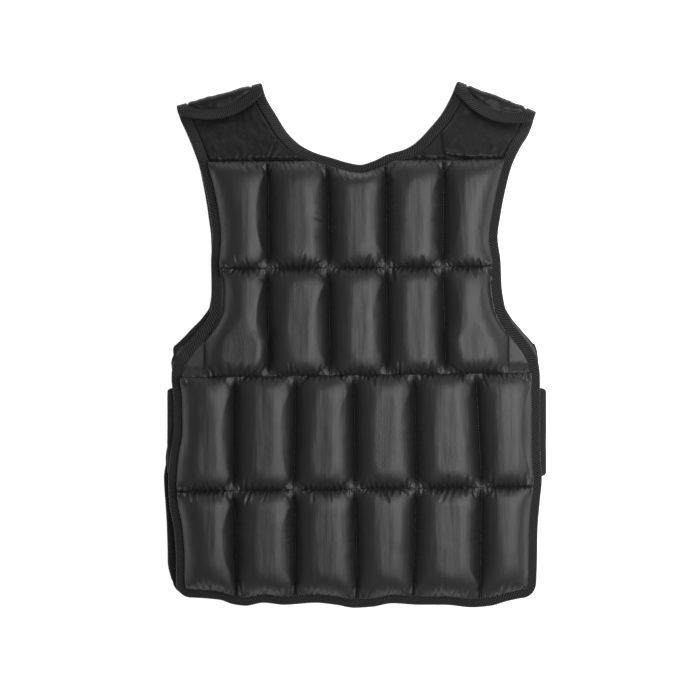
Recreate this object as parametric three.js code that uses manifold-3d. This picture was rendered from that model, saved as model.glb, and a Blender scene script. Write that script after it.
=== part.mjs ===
// A weighted training vest lying flat on its back, as put away. Two quilted panels lie on each other with the
// torso space between them. Pockets full of ballast face up on the front panel and down on the back panel. The
// back panel's shoulders fold over at the top and end in rounded flaps on the front shoulders. Wide elastic bands
// join the panels at the hips, and a woven tape is folded over every edge.
// Each piece is drawn flat as a pattern, with x across, up from the hem and h away from the base cloth's middle
// plane, and lay() puts the pattern where the vest lies. Lengths are in millimetres, Z is up, and +Y is the
// shoulder end.
import * as THREE from "three";
import { mergeVertices } from "three/addons/utils/BufferGeometryUtils.js";
import Module from "manifold-3d";

const wasm = await Module();
wasm.setup();

// Overall size of the flat vest
const vestLength = 527;
const halfWidth = 185;
const hemCornerRadius = 15;
const backHemInset = 2;

// Cloth, ballast and tape
const baseCloth = 1.5;
const pocketCloth = 1.5;
const yokeCloth = 2.6;
const packHeight = 17;
const torsoGap = 10;
const tapeWidth = 10.5;
const tapeThickness = 1.2;
const fitGap = 0.3;

// Shoulders
const flapLength = 17;
const flapCornerLength = 1.5;
const flapClearance = 0.6;

// Elastic hip bands
const bandHeight = 88;
const bandThickness = 2;
const bandBottom = 131;
const bandCornerRadius = 4;
const bandStandOutLeft = 2.5;
const bandStandOutRight = 6;
const bandTuck = 9;

// Mesh steps
const strapSteps = 11;
const foldSteps = 5;
const flapSteps = 4;
const cornerSteps = 3;
const edgeStep = 32;
const clothColour = 0x2a2b2d;
const tapeColour = 0x151618;
const bandColour = 0x1b1c1e;

// Side edges of the vest at heights above the hem. up is a share of vestLength, the others of halfWidth.
// backLeft and backRight say how much further out the back panel lies than the front one.
const sideStations = [
  { up: 0.0, left: 0.962, right: 0.972, backLeft: 0.02, backRight: -0.016 },
  { up: 0.042, left: 0.964, right: 0.977, backLeft: 0.026, backRight: -0.016 },
  { up: 0.087, left: 0.964, right: 0.981, backLeft: 0.05, backRight: -0.016 },
  { up: 0.148, left: 0.975, right: 0.984, backLeft: 0.043, backRight: -0.016 },
  { up: 0.197, left: 1.0, right: 0.995, backLeft: 0.026, backRight: -0.016 },
  { up: 0.245, left: 1.006, right: 1.007, backLeft: 0.028, backRight: -0.02 },
  { up: 0.288, left: 0.997, right: 1.0, backLeft: 0.016, backRight: -0.02 },
  { up: 0.336, left: 0.976, right: 0.998, backLeft: 0.0, backRight: -0.02 },
  { up: 0.393, left: 0.978, right: 0.998, backLeft: -0.014, backRight: -0.02 },
  { up: 0.435, left: 0.989, right: 0.997, backLeft: -0.005, backRight: -0.02 },
  { up: 0.461, left: 0.982, right: 0.99, backLeft: 0.012, backRight: -0.02 },
  { up: 0.488, left: 0.93, right: 0.959, backLeft: 0.035, backRight: -0.02 },
  { up: 0.514, left: 0.865, right: 0.905, backLeft: 0.038, backRight: -0.016 },
  { up: 0.541, left: 0.805, right: 0.846, backLeft: 0.027, backRight: -0.014 },
  { up: 0.567, left: 0.777, right: 0.81, backLeft: 0.012, backRight: -0.012 },
  { up: 0.611, left: 0.774, right: 0.79, backLeft: 0.0, backRight: -0.01 },
  { up: 0.655, left: 0.776, right: 0.785, backLeft: 0.0, backRight: -0.01 },
  { up: 0.7, left: 0.769, right: 0.769, backLeft: 0.01, backRight: -0.01 },
  { up: 0.744, left: 0.781, right: 0.785, backLeft: 0.013, backRight: -0.01 },
  { up: 0.791, left: 0.805, right: 0.811, backLeft: 0.011, backRight: -0.008 },
  { up: 0.837, left: 0.841, right: 0.846, backLeft: 0.003, backRight: -0.004 },
  { up: 0.867, left: 0.872, right: 0.886, backLeft: 0.0, backRight: -0.002 },
  { up: 0.901, left: 0.914, right: 0.945, backLeft: 0.0, backRight: 0.0 },
  { up: 0.928, left: 0.95, right: 0.972, backLeft: 0.0, backRight: 0.0 },
  { up: 0.947, left: 0.967, right: 0.98, backLeft: 0.0, backRight: 0.0 },
];

// Neckline: across is a share of halfWidth, up of vestLength.
const neckStations = [
  { across: -0.516, up: 1.01 },
  { across: -0.484, up: 0.97 },
  { across: -0.427, up: 0.935 },
  { across: -0.378, up: 0.906 },
  { across: -0.341, up: 0.89 },
  { across: -0.292, up: 0.875 },
  { across: -0.216, up: 0.861 },
  { across: -0.124, up: 0.851 },
  { across: -0.038, up: 0.842 },
  { across: 0.027, up: 0.838 },
  { across: 0.092, up: 0.844 },
  { across: 0.178, up: 0.858 },
  { across: 0.265, up: 0.867 },
  { across: 0.308, up: 0.875 },
  { across: 0.357, up: 0.89 },
  { across: 0.4, up: 0.907 },
  { across: 0.465, up: 0.935 },
  { across: 0.52, up: 0.97 },
  { across: 0.565, up: 1.01 },
];

// Waves of the hem: across is a share of halfWidth, lift of vestLength.
const hemStations = [
  { across: -0.95, lift: 0.02 },
  { across: -0.86, lift: 0.019 },
  { across: -0.73, lift: 0.0152 },
  { across: -0.655, lift: 0.0066 },
  { across: -0.589, lift: 0.0038 },
  { across: -0.492, lift: 0.0095 },
  { across: -0.384, lift: 0.0057 },
  { across: -0.211, lift: 0.0095 },
  { across: -0.103, lift: 0.0057 },
  { across: -0.005, lift: 0.0 },
  { across: 0.092, lift: 0.0019 },
  { across: 0.2, lift: 0.0085 },
  { across: 0.351, lift: 0.0057 },
  { across: 0.481, lift: 0.0057 },
  { across: 0.632, lift: 0.0009 },
  { across: 0.73, lift: 0.0038 },
  { across: 0.816, lift: 0.0123 },
  { across: 0.892, lift: 0.018 },
  { across: 0.95, lift: 0.021 },
];

// Where each shoulder starts to fold: heights at the armhole edge and at the neckline, shares of vestLength.
const foldLines = {
  left: { outerUp: 0.939, innerUp: 0.982 },
  right: { outerUp: 0.928, innerUp: 0.986 },
};

// Horizontal seams from the hips to the shoulders: heights at the two side edges, shares of vestLength.
const seamLines = [
  { leftUp: 0.2205, rightUp: 0.2304 },
  { leftUp: 0.4355, rightUp: 0.4450 },
  { leftUp: 0.64, rightUp: 0.6458 },
  { leftUp: 0.8425, rightUp: 0.848 },
];

// Pocket rows from the hem up. low and high are the vertical seams at a row's lower and upper end, shares of
// halfWidth, and earLeft and earRight are seams that cut a flat ear off the row's two ends.
const pocketRows = [
  { low: [-0.638, -0.322, 0.011, 0.314, 0.671], high: [-0.652, -0.327, -0.002, 0.325, 0.677] },
  { low: [-0.65, -0.33, -0.002, 0.328, 0.679], high: [-0.646, -0.322, -0.009, 0.317, 0.646] },
  {
    low: [-0.463, -0.135, 0.172, 0.486],
    high: [-0.475, -0.146, 0.165, 0.469],
    earLeft: -0.815,
    earRight: 0.83,
  },
  { low: [-0.466, -0.141, 0.165, 0.468], high: [-0.47, -0.152, 0.165, 0.476] },
];

// Flat cloth round a pocket row, inside the tape, and how far a row is drawn past the tape before it is cut
const flatMargin = 1.2;
const overrun = 6;

// How a pocket rises across its width and along its length, as shares of each
const pocketSteps = [0, 0.12, 0.34, 0.66, 0.88, 1];
const flankPower = 3.2;
const flankRound = 0.55;

const crown = 1.02;
const bulge = (t) => Math.min(1, crown * (1 - Math.abs(2 * t - 1) ** flankPower) ** flankRound);

// Heights of the layers, from the floor up
const sheetReach = baseCloth / 2 + fitGap;
const tapeReach = sheetReach + tapeThickness;
const backBaseZ = packHeight + pocketCloth + sheetReach;
const frontBaseZ = backBaseZ + baseCloth + torsoGap;
const backStrapZ = sheetReach + yokeCloth + fitGap;
const frontStrapZ = backStrapZ + 2 * tapeReach + fitGap;
const flapZ = frontStrapZ + sheetReach + yokeCloth + flapClearance + tapeReach;
const foldRadius = (flapZ - backStrapZ) / 2;
const foldLength = Math.PI * foldRadius;

const panels = {
  front: { name: "front", outward: 1, bodyZ: frontBaseZ, strapZ: frontStrapZ, folds: false },
  back: { name: "back", outward: -1, bodyZ: backBaseZ, strapZ: backStrapZ, folds: true },
};

const mix = (a, b, t) => a + (b - a) * t;
const clamp01 = (t) => Math.min(1, Math.max(0, t));
const ease = (t) => t * t * (3 - 2 * t);

// A smooth function through the rows of a table, with no overshoot between them.
function smooth(table, from, to, fromScale, toScale) {
  const x = table.map((row) => row[from] * fromScale);
  const y = table.map((row) => row[to] * toScale);
  const slope = x.slice(1).map((value, i) => (y[i + 1] - y[i]) / (value - x[i]));
  const tangent = x.map((_, i) => {
    if (i === 0) return slope[0];
    if (i === x.length - 1) return slope[i - 1];
    return slope[i - 1] * slope[i] <= 0 ? 0 : (2 * slope[i - 1] * slope[i]) / (slope[i - 1] + slope[i]);
  });
  return (at) => {
    let i = 0;
    while (i < x.length - 2 && at > x[i + 1]) i += 1;
    const step = x[i + 1] - x[i];
    const t = clamp01((at - x[i]) / step);
    const beyond = at - x[i] - t * step;
    const end = t >= 1 ? tangent[i + 1] : tangent[i];
    return (
      y[i] * (1 + 2 * t) * (1 - t) ** 2 +
      tangent[i] * step * t * (1 - t) ** 2 +
      y[i + 1] * t * t * (3 - 2 * t) +
      tangent[i + 1] * step * t * t * (t - 1) +
      beyond * end
    );
  };
}

const sideShare = (key, scale) => smooth(sideStations, "up", key, vestLength, scale);
const edgeOf = {
  left: sideShare("left", -halfWidth),
  right: sideShare("right", halfWidth),
};
const backExtra = {
  left: sideShare("backLeft", -halfWidth),
  right: sideShare("backRight", halfWidth),
};
const neckUp = smooth(neckStations, "across", "up", halfWidth, vestLength);
const hemUp = smooth(hemStations, "across", "lift", halfWidth, vestLength);

function sideX(panel, side, up) {
  return edgeOf[side](up) + (panel.folds ? backExtra[side](up) : 0);
}

const point = (x, y) => new THREE.Vector2(x, y);

// Points at equal steps along a polyline.
function resample(line, steps) {
  const along = [0];
  for (let i = 1; i < line.length; i++) along.push(along[i - 1] + line[i].distanceTo(line[i - 1]));
  const total = along[along.length - 1];
  let i = 0;
  return Array.from({ length: steps + 1 }, (_, k) => {
    const at = (total * k) / steps;
    while (i < line.length - 2 && at > along[i + 1]) i += 1;
    return line[i].clone().lerp(line[i + 1], clamp01((at - along[i]) / (along[i + 1] - along[i])));
  });
}

function span(from, to, step) {
  const count = Math.max(1, Math.round(Math.abs(to - from) / step));
  return Array.from({ length: count + 1 }, (_, k) => mix(from, to, k / count));
}

// The neckline from one x to another as a fine polyline.
const neckLine = (from, to) => span(from, to, 0.5).map((x) => point(x, neckUp(x)));

// Where the neckline reaches a height, looking out from its lowest point.
function neckAcross(side, up) {
  const outward = side === "left" ? -1 : 1;
  let x = 0.03 * halfWidth;
  while (neckUp(x) < up && Math.abs(x) < halfWidth) x += 0.25 * outward;
  return x;
}

// Where a shoulder turns over. The frame is the front panel's on both panels, so that the two lie on each other.
function foldAt(side) {
  const outerUp = foldLines[side].outerUp * vestLength;
  const innerX = neckAcross(side, foldLines[side].innerUp * vestLength);
  const start = point(sideX(panels.front, side, outerUp), outerUp);
  const across = point(innerX, neckUp(innerX)).sub(start);
  const width = across.length();
  across.normalize();
  const away = point(-across.y, across.x).multiplyScalar(side === "left" ? 1 : -1);
  return { start, across, away, width };
}

const foldFrame = { left: foldAt("left"), right: foldAt("right") };

const seamAt = (seam, x) => mix(seam.leftUp, seam.rightUp, (x / halfWidth + 1) / 2) * vestLength;
const yokeSeam = seamLines[seamLines.length - 1];

const pastFold = (fold, p) => (p.x - fold.start.x) * fold.away.x + (p.y - fold.start.y) * fold.away.y;

// The stretch of a line on which a measure is under zero, with its ends on the zero.
function keepUnder(line, measure) {
  const kept = [];
  for (let i = 0; i < line.length; i++) {
    const here = measure(line[i]);
    const before = i > 0 ? measure(line[i - 1]) : here;
    if (i > 0 && here < 0 !== before < 0) kept.push(line[i - 1].clone().lerp(line[i], before / (before - here)));
    if (here < 0) kept.push(line[i]);
  }
  return kept;
}

// One shoulder's pattern: its outer and inner edges from the yoke seam to the fold line, set in by a distance.
function shoulder(panel, side, setIn = 0) {
  const fold = foldFrame[side];
  const inward = side === "left" ? setIn : -setIn;
  const trimmed = (line, turn) => {
    const moved = inset(line, leftward(line), turn * inward);
    const above = keepUnder(moved, (p) => seamAt(yokeSeam, p.x) - p.y);
    return resample(keepUnder(above, (p) => pastFold(fold, p)), strapSteps);
  };
  const start = yokeSeam.leftUp * vestLength - 2 * tapeWidth;
  const outerLine = span(start, vestLength, 3).map((up) => point(sideX(panel, side, up), up));
  const innerLine = neckLine(0.03 * halfWidth, neckAcross(side, 1.02 * vestLength));
  return { side, outer: trimmed(outerLine, -1), inner: trimmed(innerLine, 1) };
}

// The height of a panel's cloth at a place: it sinks from the yoke seam to the fold.
function heightAt(panel, x, up) {
  const fold = x < 0 ? foldFrame.left : foldFrame.right;
  const foldUp = fold.start.y + ((x - fold.start.x) * fold.across.y) / fold.across.x;
  const seamUp = seamAt(yokeSeam, x);
  return mix(panel.bodyZ, panel.strapZ, ease(clamp01((up - seamUp) / (foldUp - seamUp))));
}

// From the pattern to where the cloth lies.
function lay(panel, x, up, h) {
  const fold = x < 0 ? foldFrame.left : foldFrame.right;
  const past = pastFold(fold, point(x, up));
  if (past <= 0 || !panel.folds) return new THREE.Vector3(x, up, heightAt(panel, x, up) + h);
  const turn = Math.min(past / foldRadius, Math.PI);
  const beyond = Math.max(0, past - foldLength);
  const reach = (foldRadius - h) * Math.sin(turn) - beyond - past;
  const laid = point(x, up).addScaledVector(fold.away, reach);
  const rise = beyond > 0 ? heightAt(panels.front, laid.x, laid.y) - frontStrapZ : 0;
  return new THREE.Vector3(laid.x, laid.y, flapZ - foldRadius - (foldRadius - h) * Math.cos(turn) + rise);
}

function geometryOf(positions, index) {
  const made = new THREE.BufferGeometry();
  made.setAttribute("position", new THREE.Float32BufferAttribute(positions.flatMap((p) => [p.x, p.y, p.z]), 3));
  let volume = 0;
  for (let i = 0; i < index.length; i += 3) {
    const [a, b, c] = [positions[index[i]], positions[index[i + 1]], positions[index[i + 2]]];
    volume += a.clone().cross(b).dot(c);
  }
  made.setIndex(volume < 0 ? index.slice().reverse() : index);
  return made;
}

// A closed sheet from a grid of columns and rows. place(i, j, k) gives a corner, on the lower skin for k 0 and on
// the upper one for k 1. A flat lower skin is cut from its rim alone.
function closedSheet(columns, rows, place, flatBelow = false) {
  const positions = [];
  const index = [];
  const id = (i, j, k) => (k * (rows + 1) + j) * (columns + 1) + i;
  const quad = (a, b, c, d) => index.push(a, b, c, a, c, d);
  for (let k = 0; k < 2; k++)
    for (let j = 0; j <= rows; j++) for (let i = 0; i <= columns; i++) positions.push(place(i, j, k));
  for (let j = 0; j < rows; j++)
    for (let i = 0; i < columns; i++) {
      quad(id(i, j, 1), id(i + 1, j, 1), id(i + 1, j + 1, 1), id(i, j + 1, 1));
      if (!flatBelow) quad(id(i, j, 0), id(i, j + 1, 0), id(i + 1, j + 1, 0), id(i + 1, j, 0));
    }
  if (flatBelow) {
    const rim = [];
    for (let i = 0; i < columns; i++) rim.push(id(i, 0, 0));
    for (let j = 0; j < rows; j++) rim.push(id(columns, j, 0));
    for (let i = columns; i > 0; i--) rim.push(id(i, rows, 0));
    for (let j = rows; j > 0; j--) rim.push(id(0, j, 0));
    const outline = rim.map((at) => point(positions[at].x, positions[at].y));
    for (const [a, b, c] of THREE.ShapeUtils.triangulateShape(outline, [])) index.push(rim[c], rim[b], rim[a]);
  }
  for (let i = 0; i < columns; i++) {
    quad(id(i, 0, 0), id(i + 1, 0, 0), id(i + 1, 0, 1), id(i, 0, 1));
    quad(id(i + 1, rows, 0), id(i, rows, 0), id(i, rows, 1), id(i + 1, rows, 1));
  }
  for (let j = 0; j < rows; j++) {
    quad(id(0, j + 1, 0), id(0, j, 0), id(0, j, 1), id(0, j + 1, 1));
    quad(id(columns, j, 0), id(columns, j + 1, 0), id(columns, j + 1, 1), id(columns, j, 1));
  }
  return geometryOf(positions, index);
}

function solidOf(geometry) {
  const bare = new THREE.BufferGeometry().setAttribute("position", geometry.getAttribute("position"));
  if (geometry.index) bare.setIndex(geometry.index);
  const merged = mergeVertices(bare, 1e-3);
  return new wasm.Manifold(
    new wasm.Mesh({
      numProp: 3,
      vertProperties: new Float32Array(merged.attributes.position.array),
      triVerts: new Uint32Array(merged.index.array),
    }),
  );
}

function geometryFrom(solid) {
  const mesh = solid.getMesh();
  return new THREE.BufferGeometry()
    .setAttribute("position", new THREE.Float32BufferAttribute(mesh.vertProperties, 3))
    .setIndex(new THREE.Uint32BufferAttribute(mesh.triVerts, 1));
}

function prism(outline, bottom, top) {
  const made = new THREE.ExtrudeGeometry(new THREE.Shape(outline), { depth: top - bottom, bevelEnabled: false });
  return solidOf(made.translate(0, 0, bottom));
}

// Unit directions across a line of points, to the left of its run.
function leftward(line) {
  return line.map((_, i) => {
    const run = line[Math.min(i + 1, line.length - 1)].clone().sub(line[Math.max(i - 1, 0)]);
    return point(-run.y, run.x).normalize();
  });
}

const inset = (line, inward, distance) => line.map((p, i) => p.clone().addScaledVector(inward[i], distance));

// A panel's edge from the left shoulder's yoke seam round the hem to the right one's, with the body to its left.
function hemRun(panel, strapLeft, strapRight) {
  const hemOf = (x) => hemUp(x) + (panel.folds ? backHemInset : 0);
  const corner = (side) => {
    const sign = side === "left" ? 1 : -1;
    const x = sideX(panel, side, 0.03 * vestLength) + sign * hemCornerRadius;
    return point(x, hemOf(x) + hemCornerRadius);
  };
  const [leftCorner, rightCorner] = [corner("left"), corner("right")];
  const arc = (centre, from) =>
    Array.from({ length: cornerSteps - 1 }, (_, k) => {
      const angle = from + ((k + 1) * Math.PI) / 2 / cornerSteps;
      return point(Math.cos(angle), Math.sin(angle)).multiplyScalar(hemCornerRadius).add(centre);
    });
  const sideLine = (side, from, to) =>
    span(from, to, edgeStep).map((up) => point(sideX(panel, side, up), up));
  return [
    ...sideLine("left", strapLeft.outer[0].y, leftCorner.y).slice(1),
    ...arc(leftCorner, Math.PI),
    ...span(leftCorner.x, rightCorner.x, edgeStep).map((x) => point(x, hemOf(x))),
    ...arc(rightCorner, -Math.PI / 2),
    ...sideLine("right", rightCorner.y, strapRight.outer[0].y).slice(0, -1),
  ];
}

// A folded-over shoulder edge: points past the fold line, where the cloth turns over.
function foldedEdge(fold, from, steps) {
  return Array.from({ length: steps }, (_, k) =>
    from.clone().addScaledVector(fold.away, (foldLength * (k + 1)) / steps),
  );
}

// All the lines that one panel's pieces are cut to.
function cutPanel(panel) {
  const left = shoulder(panel, "left");
  const right = shoulder(panel, "right");
  const past = (strap, edge) =>
    panel.folds ? foldedEdge(foldFrame[strap.side], edge[strapSteps], foldSteps) : [];
  const body = hemRun(panel, left, right);
  const outer = [
    ...past(left, left.outer).reverse(),
    ...left.outer.slice().reverse(),
    ...body,
    ...right.outer,
    ...past(right, right.outer),
  ];
  const middle = resample(neckLine(right.inner[0].x, left.inner[0].x), 9).slice(1, -1);
  const neck = [
    ...past(right, right.inner).reverse(),
    ...right.inner.slice().reverse(),
    ...middle,
    ...left.inner,
    ...past(left, left.inner),
  ];
  return { panel, left, right, outer, neck };
}

// The woven tape's section, folded over the edge of a sheet: d runs in from the edge, h away from the sheet.
function tapeAlong(line, placed, widthSteps = 1) {
  const leg = (from, to, h) => span(from, to, Math.abs(to - from) / widthSteps).map((d) => point(d, h));
  const tapeSection = [
    ...leg(tapeWidth, 0, tapeReach),
    ...leg(0, tapeWidth, -tapeReach),
    ...leg(tapeWidth, tapeThickness, -sheetReach),
    ...leg(tapeThickness, tapeWidth, sheetReach),
  ];
  const inward = leftward(line);
  const positions = line.flatMap((p, i) =>
    tapeSection.map((q) => placed(p.x + inward[i].x * q.x, p.y + inward[i].y * q.x, q.y)),
  );
  const sides = tapeSection.length;
  const index = [];
  for (let i = 0; i < line.length - 1; i++)
    for (let k = 0; k < sides; k++) {
      const [a, b] = [i * sides + k, i * sides + ((k + 1) % sides)];
      index.push(a, b, b + sides, a, b + sides, a + sides);
    }
  const last = (line.length - 1) * sides;
  for (const [a, b, c] of THREE.ShapeUtils.triangulateShape(tapeSection, [])) {
    index.push(c, b, a);
    index.push(last + a, last + b, last + c);
  }
  return geometryOf(positions, index);
}

// A point of a shoulder's pattern. Rows run from the yoke seam to the fold line, round the fold, and on to the
// flap's rounded end, which is trimmed by a distance.
function strapPoint(strap, row, share, trim = 0) {
  const j = Math.min(row, strapSteps);
  const low = Math.max(0, Math.floor(j));
  const high = Math.min(low + 1, strapSteps);
  const outer = strap.outer[low].clone().lerp(strap.outer[high], j - low);
  const inner = strap.inner[low].clone().lerp(strap.inner[high], j - low);
  const at = outer.lerp(inner, share);
  const fold = foldFrame[strap.side];
  const turned = Math.min(Math.max(row - strapSteps, 0), foldSteps) / foldSteps;
  const flapped = Math.max(row - strapSteps - foldSteps, 0) / flapSteps;
  const across = at.clone().sub(fold.start).dot(fold.across) / fold.width;
  const reach = turned * foldLength + flapped * flapEnd(clamp01(across), trim, fold.width);
  return at.addScaledVector(fold.away, reach);
}

// How far a flap runs past the fold at a share of its width, less a trim along its round end.
function flapEnd(share, trim, width) {
  const round = flapLength - flapCornerLength;
  const slope = (4 * round * (1 - 2 * share)) / width;
  return flapCornerLength + round * (1 - (2 * share - 1) ** 2) - trim * Math.hypot(1, slope);
}

// A layer of cloth on a shoulder between two rows, with its lower and upper skin at the heights given.
function strapSheet(panel, strap, fromRow, toRow, trim, shares, heights) {
  const rows = [fromRow];
  for (let row = Math.floor(fromRow) + 1; row < toRow; row++) rows.push(row);
  rows.push(toRow);
  return closedSheet(shares.length - 1, rows.length - 1, (i, j, k) => {
    const p = strapPoint(strap, rows[j], shares[i], trim);
    return lay(panel, p.x, p.y, heights(i, rows[j])[k]);
  });
}

// Columns across a shoulder, and how thick the yoke is at its sewn edges
const strapShares = [0, 0.13, 0.3, 0.5, 0.7, 0.87, 1];
const hemmedShare = 0.6;

const lastRow = (panel) => (panel.folds ? strapSteps + foldSteps + flapSteps : strapSteps - 0.2);

// The base cloth: one flat body with the two shoulders on it.
function baseSheet(cut) {
  const { panel, outer, neck } = cut;
  const edge = tapeThickness + fitGap;
  const lead = panel.folds ? foldSteps : 0;
  const joinRow = lead + strapSteps;
  const inner = (line) => inset(line, leftward(line), edge).slice(joinRow, line.length - joinRow);
  const flat = [...inner(outer), ...inner(neck)];
  const body = prism(flat, panel.bodyZ - baseCloth / 2, panel.bodyZ + baseCloth / 2);
  const layer = [-baseCloth / 2, baseCloth / 2];
  const straps = ["left", "right"].map((side) => {
    const strap = shoulder(panel, side, edge);
    return solidOf(strapSheet(panel, strap, -0.1, lastRow(panel), edge + fitGap, strapShares, () => layer));
  });
  return geometryFrom(straps.reduce((whole, strap) => whole.add(strap), body));
}

// The outer cloth of a shoulder, a little padded in the middle.
function yoke(cut, side) {
  const { panel } = cut;
  const strap = shoulder(panel, side, tapeWidth + fitGap);
  const end = lastRow(panel);
  const made = strapSheet(panel, strap, 0.1, end, 0, strapShares, (i, row) => {
    const ending = row < 1 || row === end ? hemmedShare : 1;
    const near = sheetReach;
    const far = sheetReach + yokeCloth * mix(hemmedShare, 1, bulge(strapShares[i])) * ending;
    return panel.outward > 0 ? [near, far] : [-far, -near];
  });
  if (!panel.folds) return made;
  const fold = foldFrame[side];
  const line = flapLine(cut[side]);
  const rim = inset(line, leftward(line), tapeWidth + fitGap).map((p) => {
    const laid = lay(panel, p.x, p.y, 0);
    return point(laid.x, laid.y);
  });
  const margin = 2 * tapeWidth;
  const spot = (across, down) =>
    fold.start.clone().addScaledVector(fold.across, across).addScaledVector(fold.away, -down);
  const far = [-margin, fold.width + margin].map((across) => spot(across, flapLength + tapeThickness));
  const near = [-margin, fold.width + margin].map((across) => spot(across, 0));
  const beyond = side === "left" ? [...rim, far[0], far[1]] : [...rim, far[1], far[0]];
  const heights = [flapZ - tapeReach, flapZ + 4 * yokeCloth];
  const cutter = prism(beyond, ...heights).intersect(prism([near[0], near[1], far[1], far[0]], ...heights));
  return geometryFrom(solidOf(made).subtract(cutter));
}

// The flap's rounded end, with the shoulder to its left.
function flapLine(strap) {
  const end = strapSteps + foldSteps + flapSteps;
  const line = span(0, 1, 1 / 12).map((share) => strapPoint(strap, end, share));
  return strap.side === "left" ? line.reverse() : line;
}

// The tape round a flap's end, cut off where the cloth starts to turn over.
function flapTape(cut, side) {
  const strap = cut[side];
  const fold = foldFrame[side];
  const flat = tapeAlong(flapLine(strap), (x, up, h) => new THREE.Vector3(x, up, h), 2);
  const corner = (across, along) =>
    fold.start.clone().addScaledVector(fold.across, across).addScaledVector(fold.away, foldLength + along);
  const margin = 2 * tapeWidth;
  const keep = [
    corner(-margin, fitGap),
    corner(fold.width + margin, fitGap),
    corner(fold.width + margin, flapLength + margin),
    corner(-margin, flapLength + margin),
  ];
  const trimmed = geometryFrom(solidOf(flat).intersect(prism(keep, -margin, margin)));
  const position = trimmed.getAttribute("position");
  for (let i = 0; i < position.count; i++) {
    const laid = lay(cut.panel, position.getX(i), position.getY(i), position.getZ(i));
    position.setXYZ(i, laid.x, laid.y, laid.z);
  }
  return trimmed;
}

// Where a panel's line inside its tape crosses a height, on one side of the body.
function rimAcross(rim, side, up) {
  const outward = side === "left" ? -1 : 1;
  for (let i = 1; i < rim.length; i++) {
    const [a, b] = [rim[i - 1], rim[i]];
    if (a.y > up !== b.y > up && a.x * outward > 0) return mix(a.x, b.x, (up - a.y) / (b.y - a.y));
  }
  return 0.9 * halfWidth * outward;
}

// One row of ballast pockets: a strip of cloth that rises over each pack, cut to the tape's inner edge.
function pocketStrip(cut, index) {
  const { panel, outer, neck } = cut;
  const row = pocketRows[index];
  const last = pocketRows.length - 1;
  const inner = tapeWidth + fitGap;
  const outerRim = inset(outer, leftward(outer), inner);
  const rim = [...outerRim, ...inset(neck, leftward(neck), inner)];
  const seamBelow = (x) => seamAt(seamLines[index - 1], x) + fitGap / 2;
  const low = (x) => (index === 0 ? hemUp(x) + inner + flatMargin : seamBelow(x));
  const top = (x) => seamAt(seamLines[index], x) - fitGap / 2;
  const high = (x) => (index === last ? Math.min(top(x), neckUp(x) - 1.15 * inner) - flatMargin : top(x));
  const levels = pocketSteps.map((t) => ({ t, at: (x) => mix(low(x), high(x), t) }));
  if (index === 0) levels.unshift({ t: 0, at: (x) => low(x) - overrun });
  if (index === last) levels.push({ t: 1, at: (x) => Math.min(top(x), high(x) + overrun) });
  const seams = (t) => {
    const edge = (side) => {
      const x = (side === "left" ? -0.9 : 0.9) * halfWidth;
      return rimAcross(outerRim, side, clamp01(t) * (high(x) - low(x)) + low(x));
    };
    const [left, right] = [edge("left") + flatMargin, edge("right") - flatMargin];
    const inside = row.low.map((share, k) => mix(share, row.high[k], t) * halfWidth);
    if (!row.earLeft) return [left, ...inside, right];
    const ears = [Math.max(left + flatMargin, row.earLeft * halfWidth), row.earRight * halfWidth];
    return [left, ears[0], ...inside, Math.min(right - flatMargin, ears[1]), right];
  };
  const pockets = seams(0).length - 1;
  const isEar = (pocket) => row.earLeft !== undefined && (pocket === 0 || pocket === pockets - 1);
  const stops = [{ pocket: 0, share: 0, over: -overrun }];
  for (let pocket = 0; pocket < pockets; pocket++) {
    const shares = isEar(pocket) ? [0] : pocketSteps.slice(0, -1);
    for (const share of shares) stops.push({ pocket, share, over: 0 });
  }
  stops.push({ pocket: pockets - 1, share: 1, over: 0 }, { pocket: pockets - 1, share: 1, over: overrun });
  const place = (i, j, k) => {
    const { pocket, share, over } = stops[i];
    const { t, at } = levels[j];
    const lines = seams(t);
    const x = mix(lines[pocket], lines[pocket + 1], share) + over;
    const rise = isEar(pocket) ? 0 : packHeight * bulge(share) * bulge(t);
    const h = sheetReach + (k === 1 ? pocketCloth + rise : 0);
    return new THREE.Vector3(x, at(x), panel.bodyZ + panel.outward * h);
  };
  const made = closedSheet(stops.length - 1, levels.length - 1, place, true);
  const reach = packHeight + 2 * torsoGap;
  return geometryFrom(solidOf(made).intersect(prism(rim, panel.bodyZ - reach, panel.bodyZ + reach)));
}

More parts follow.
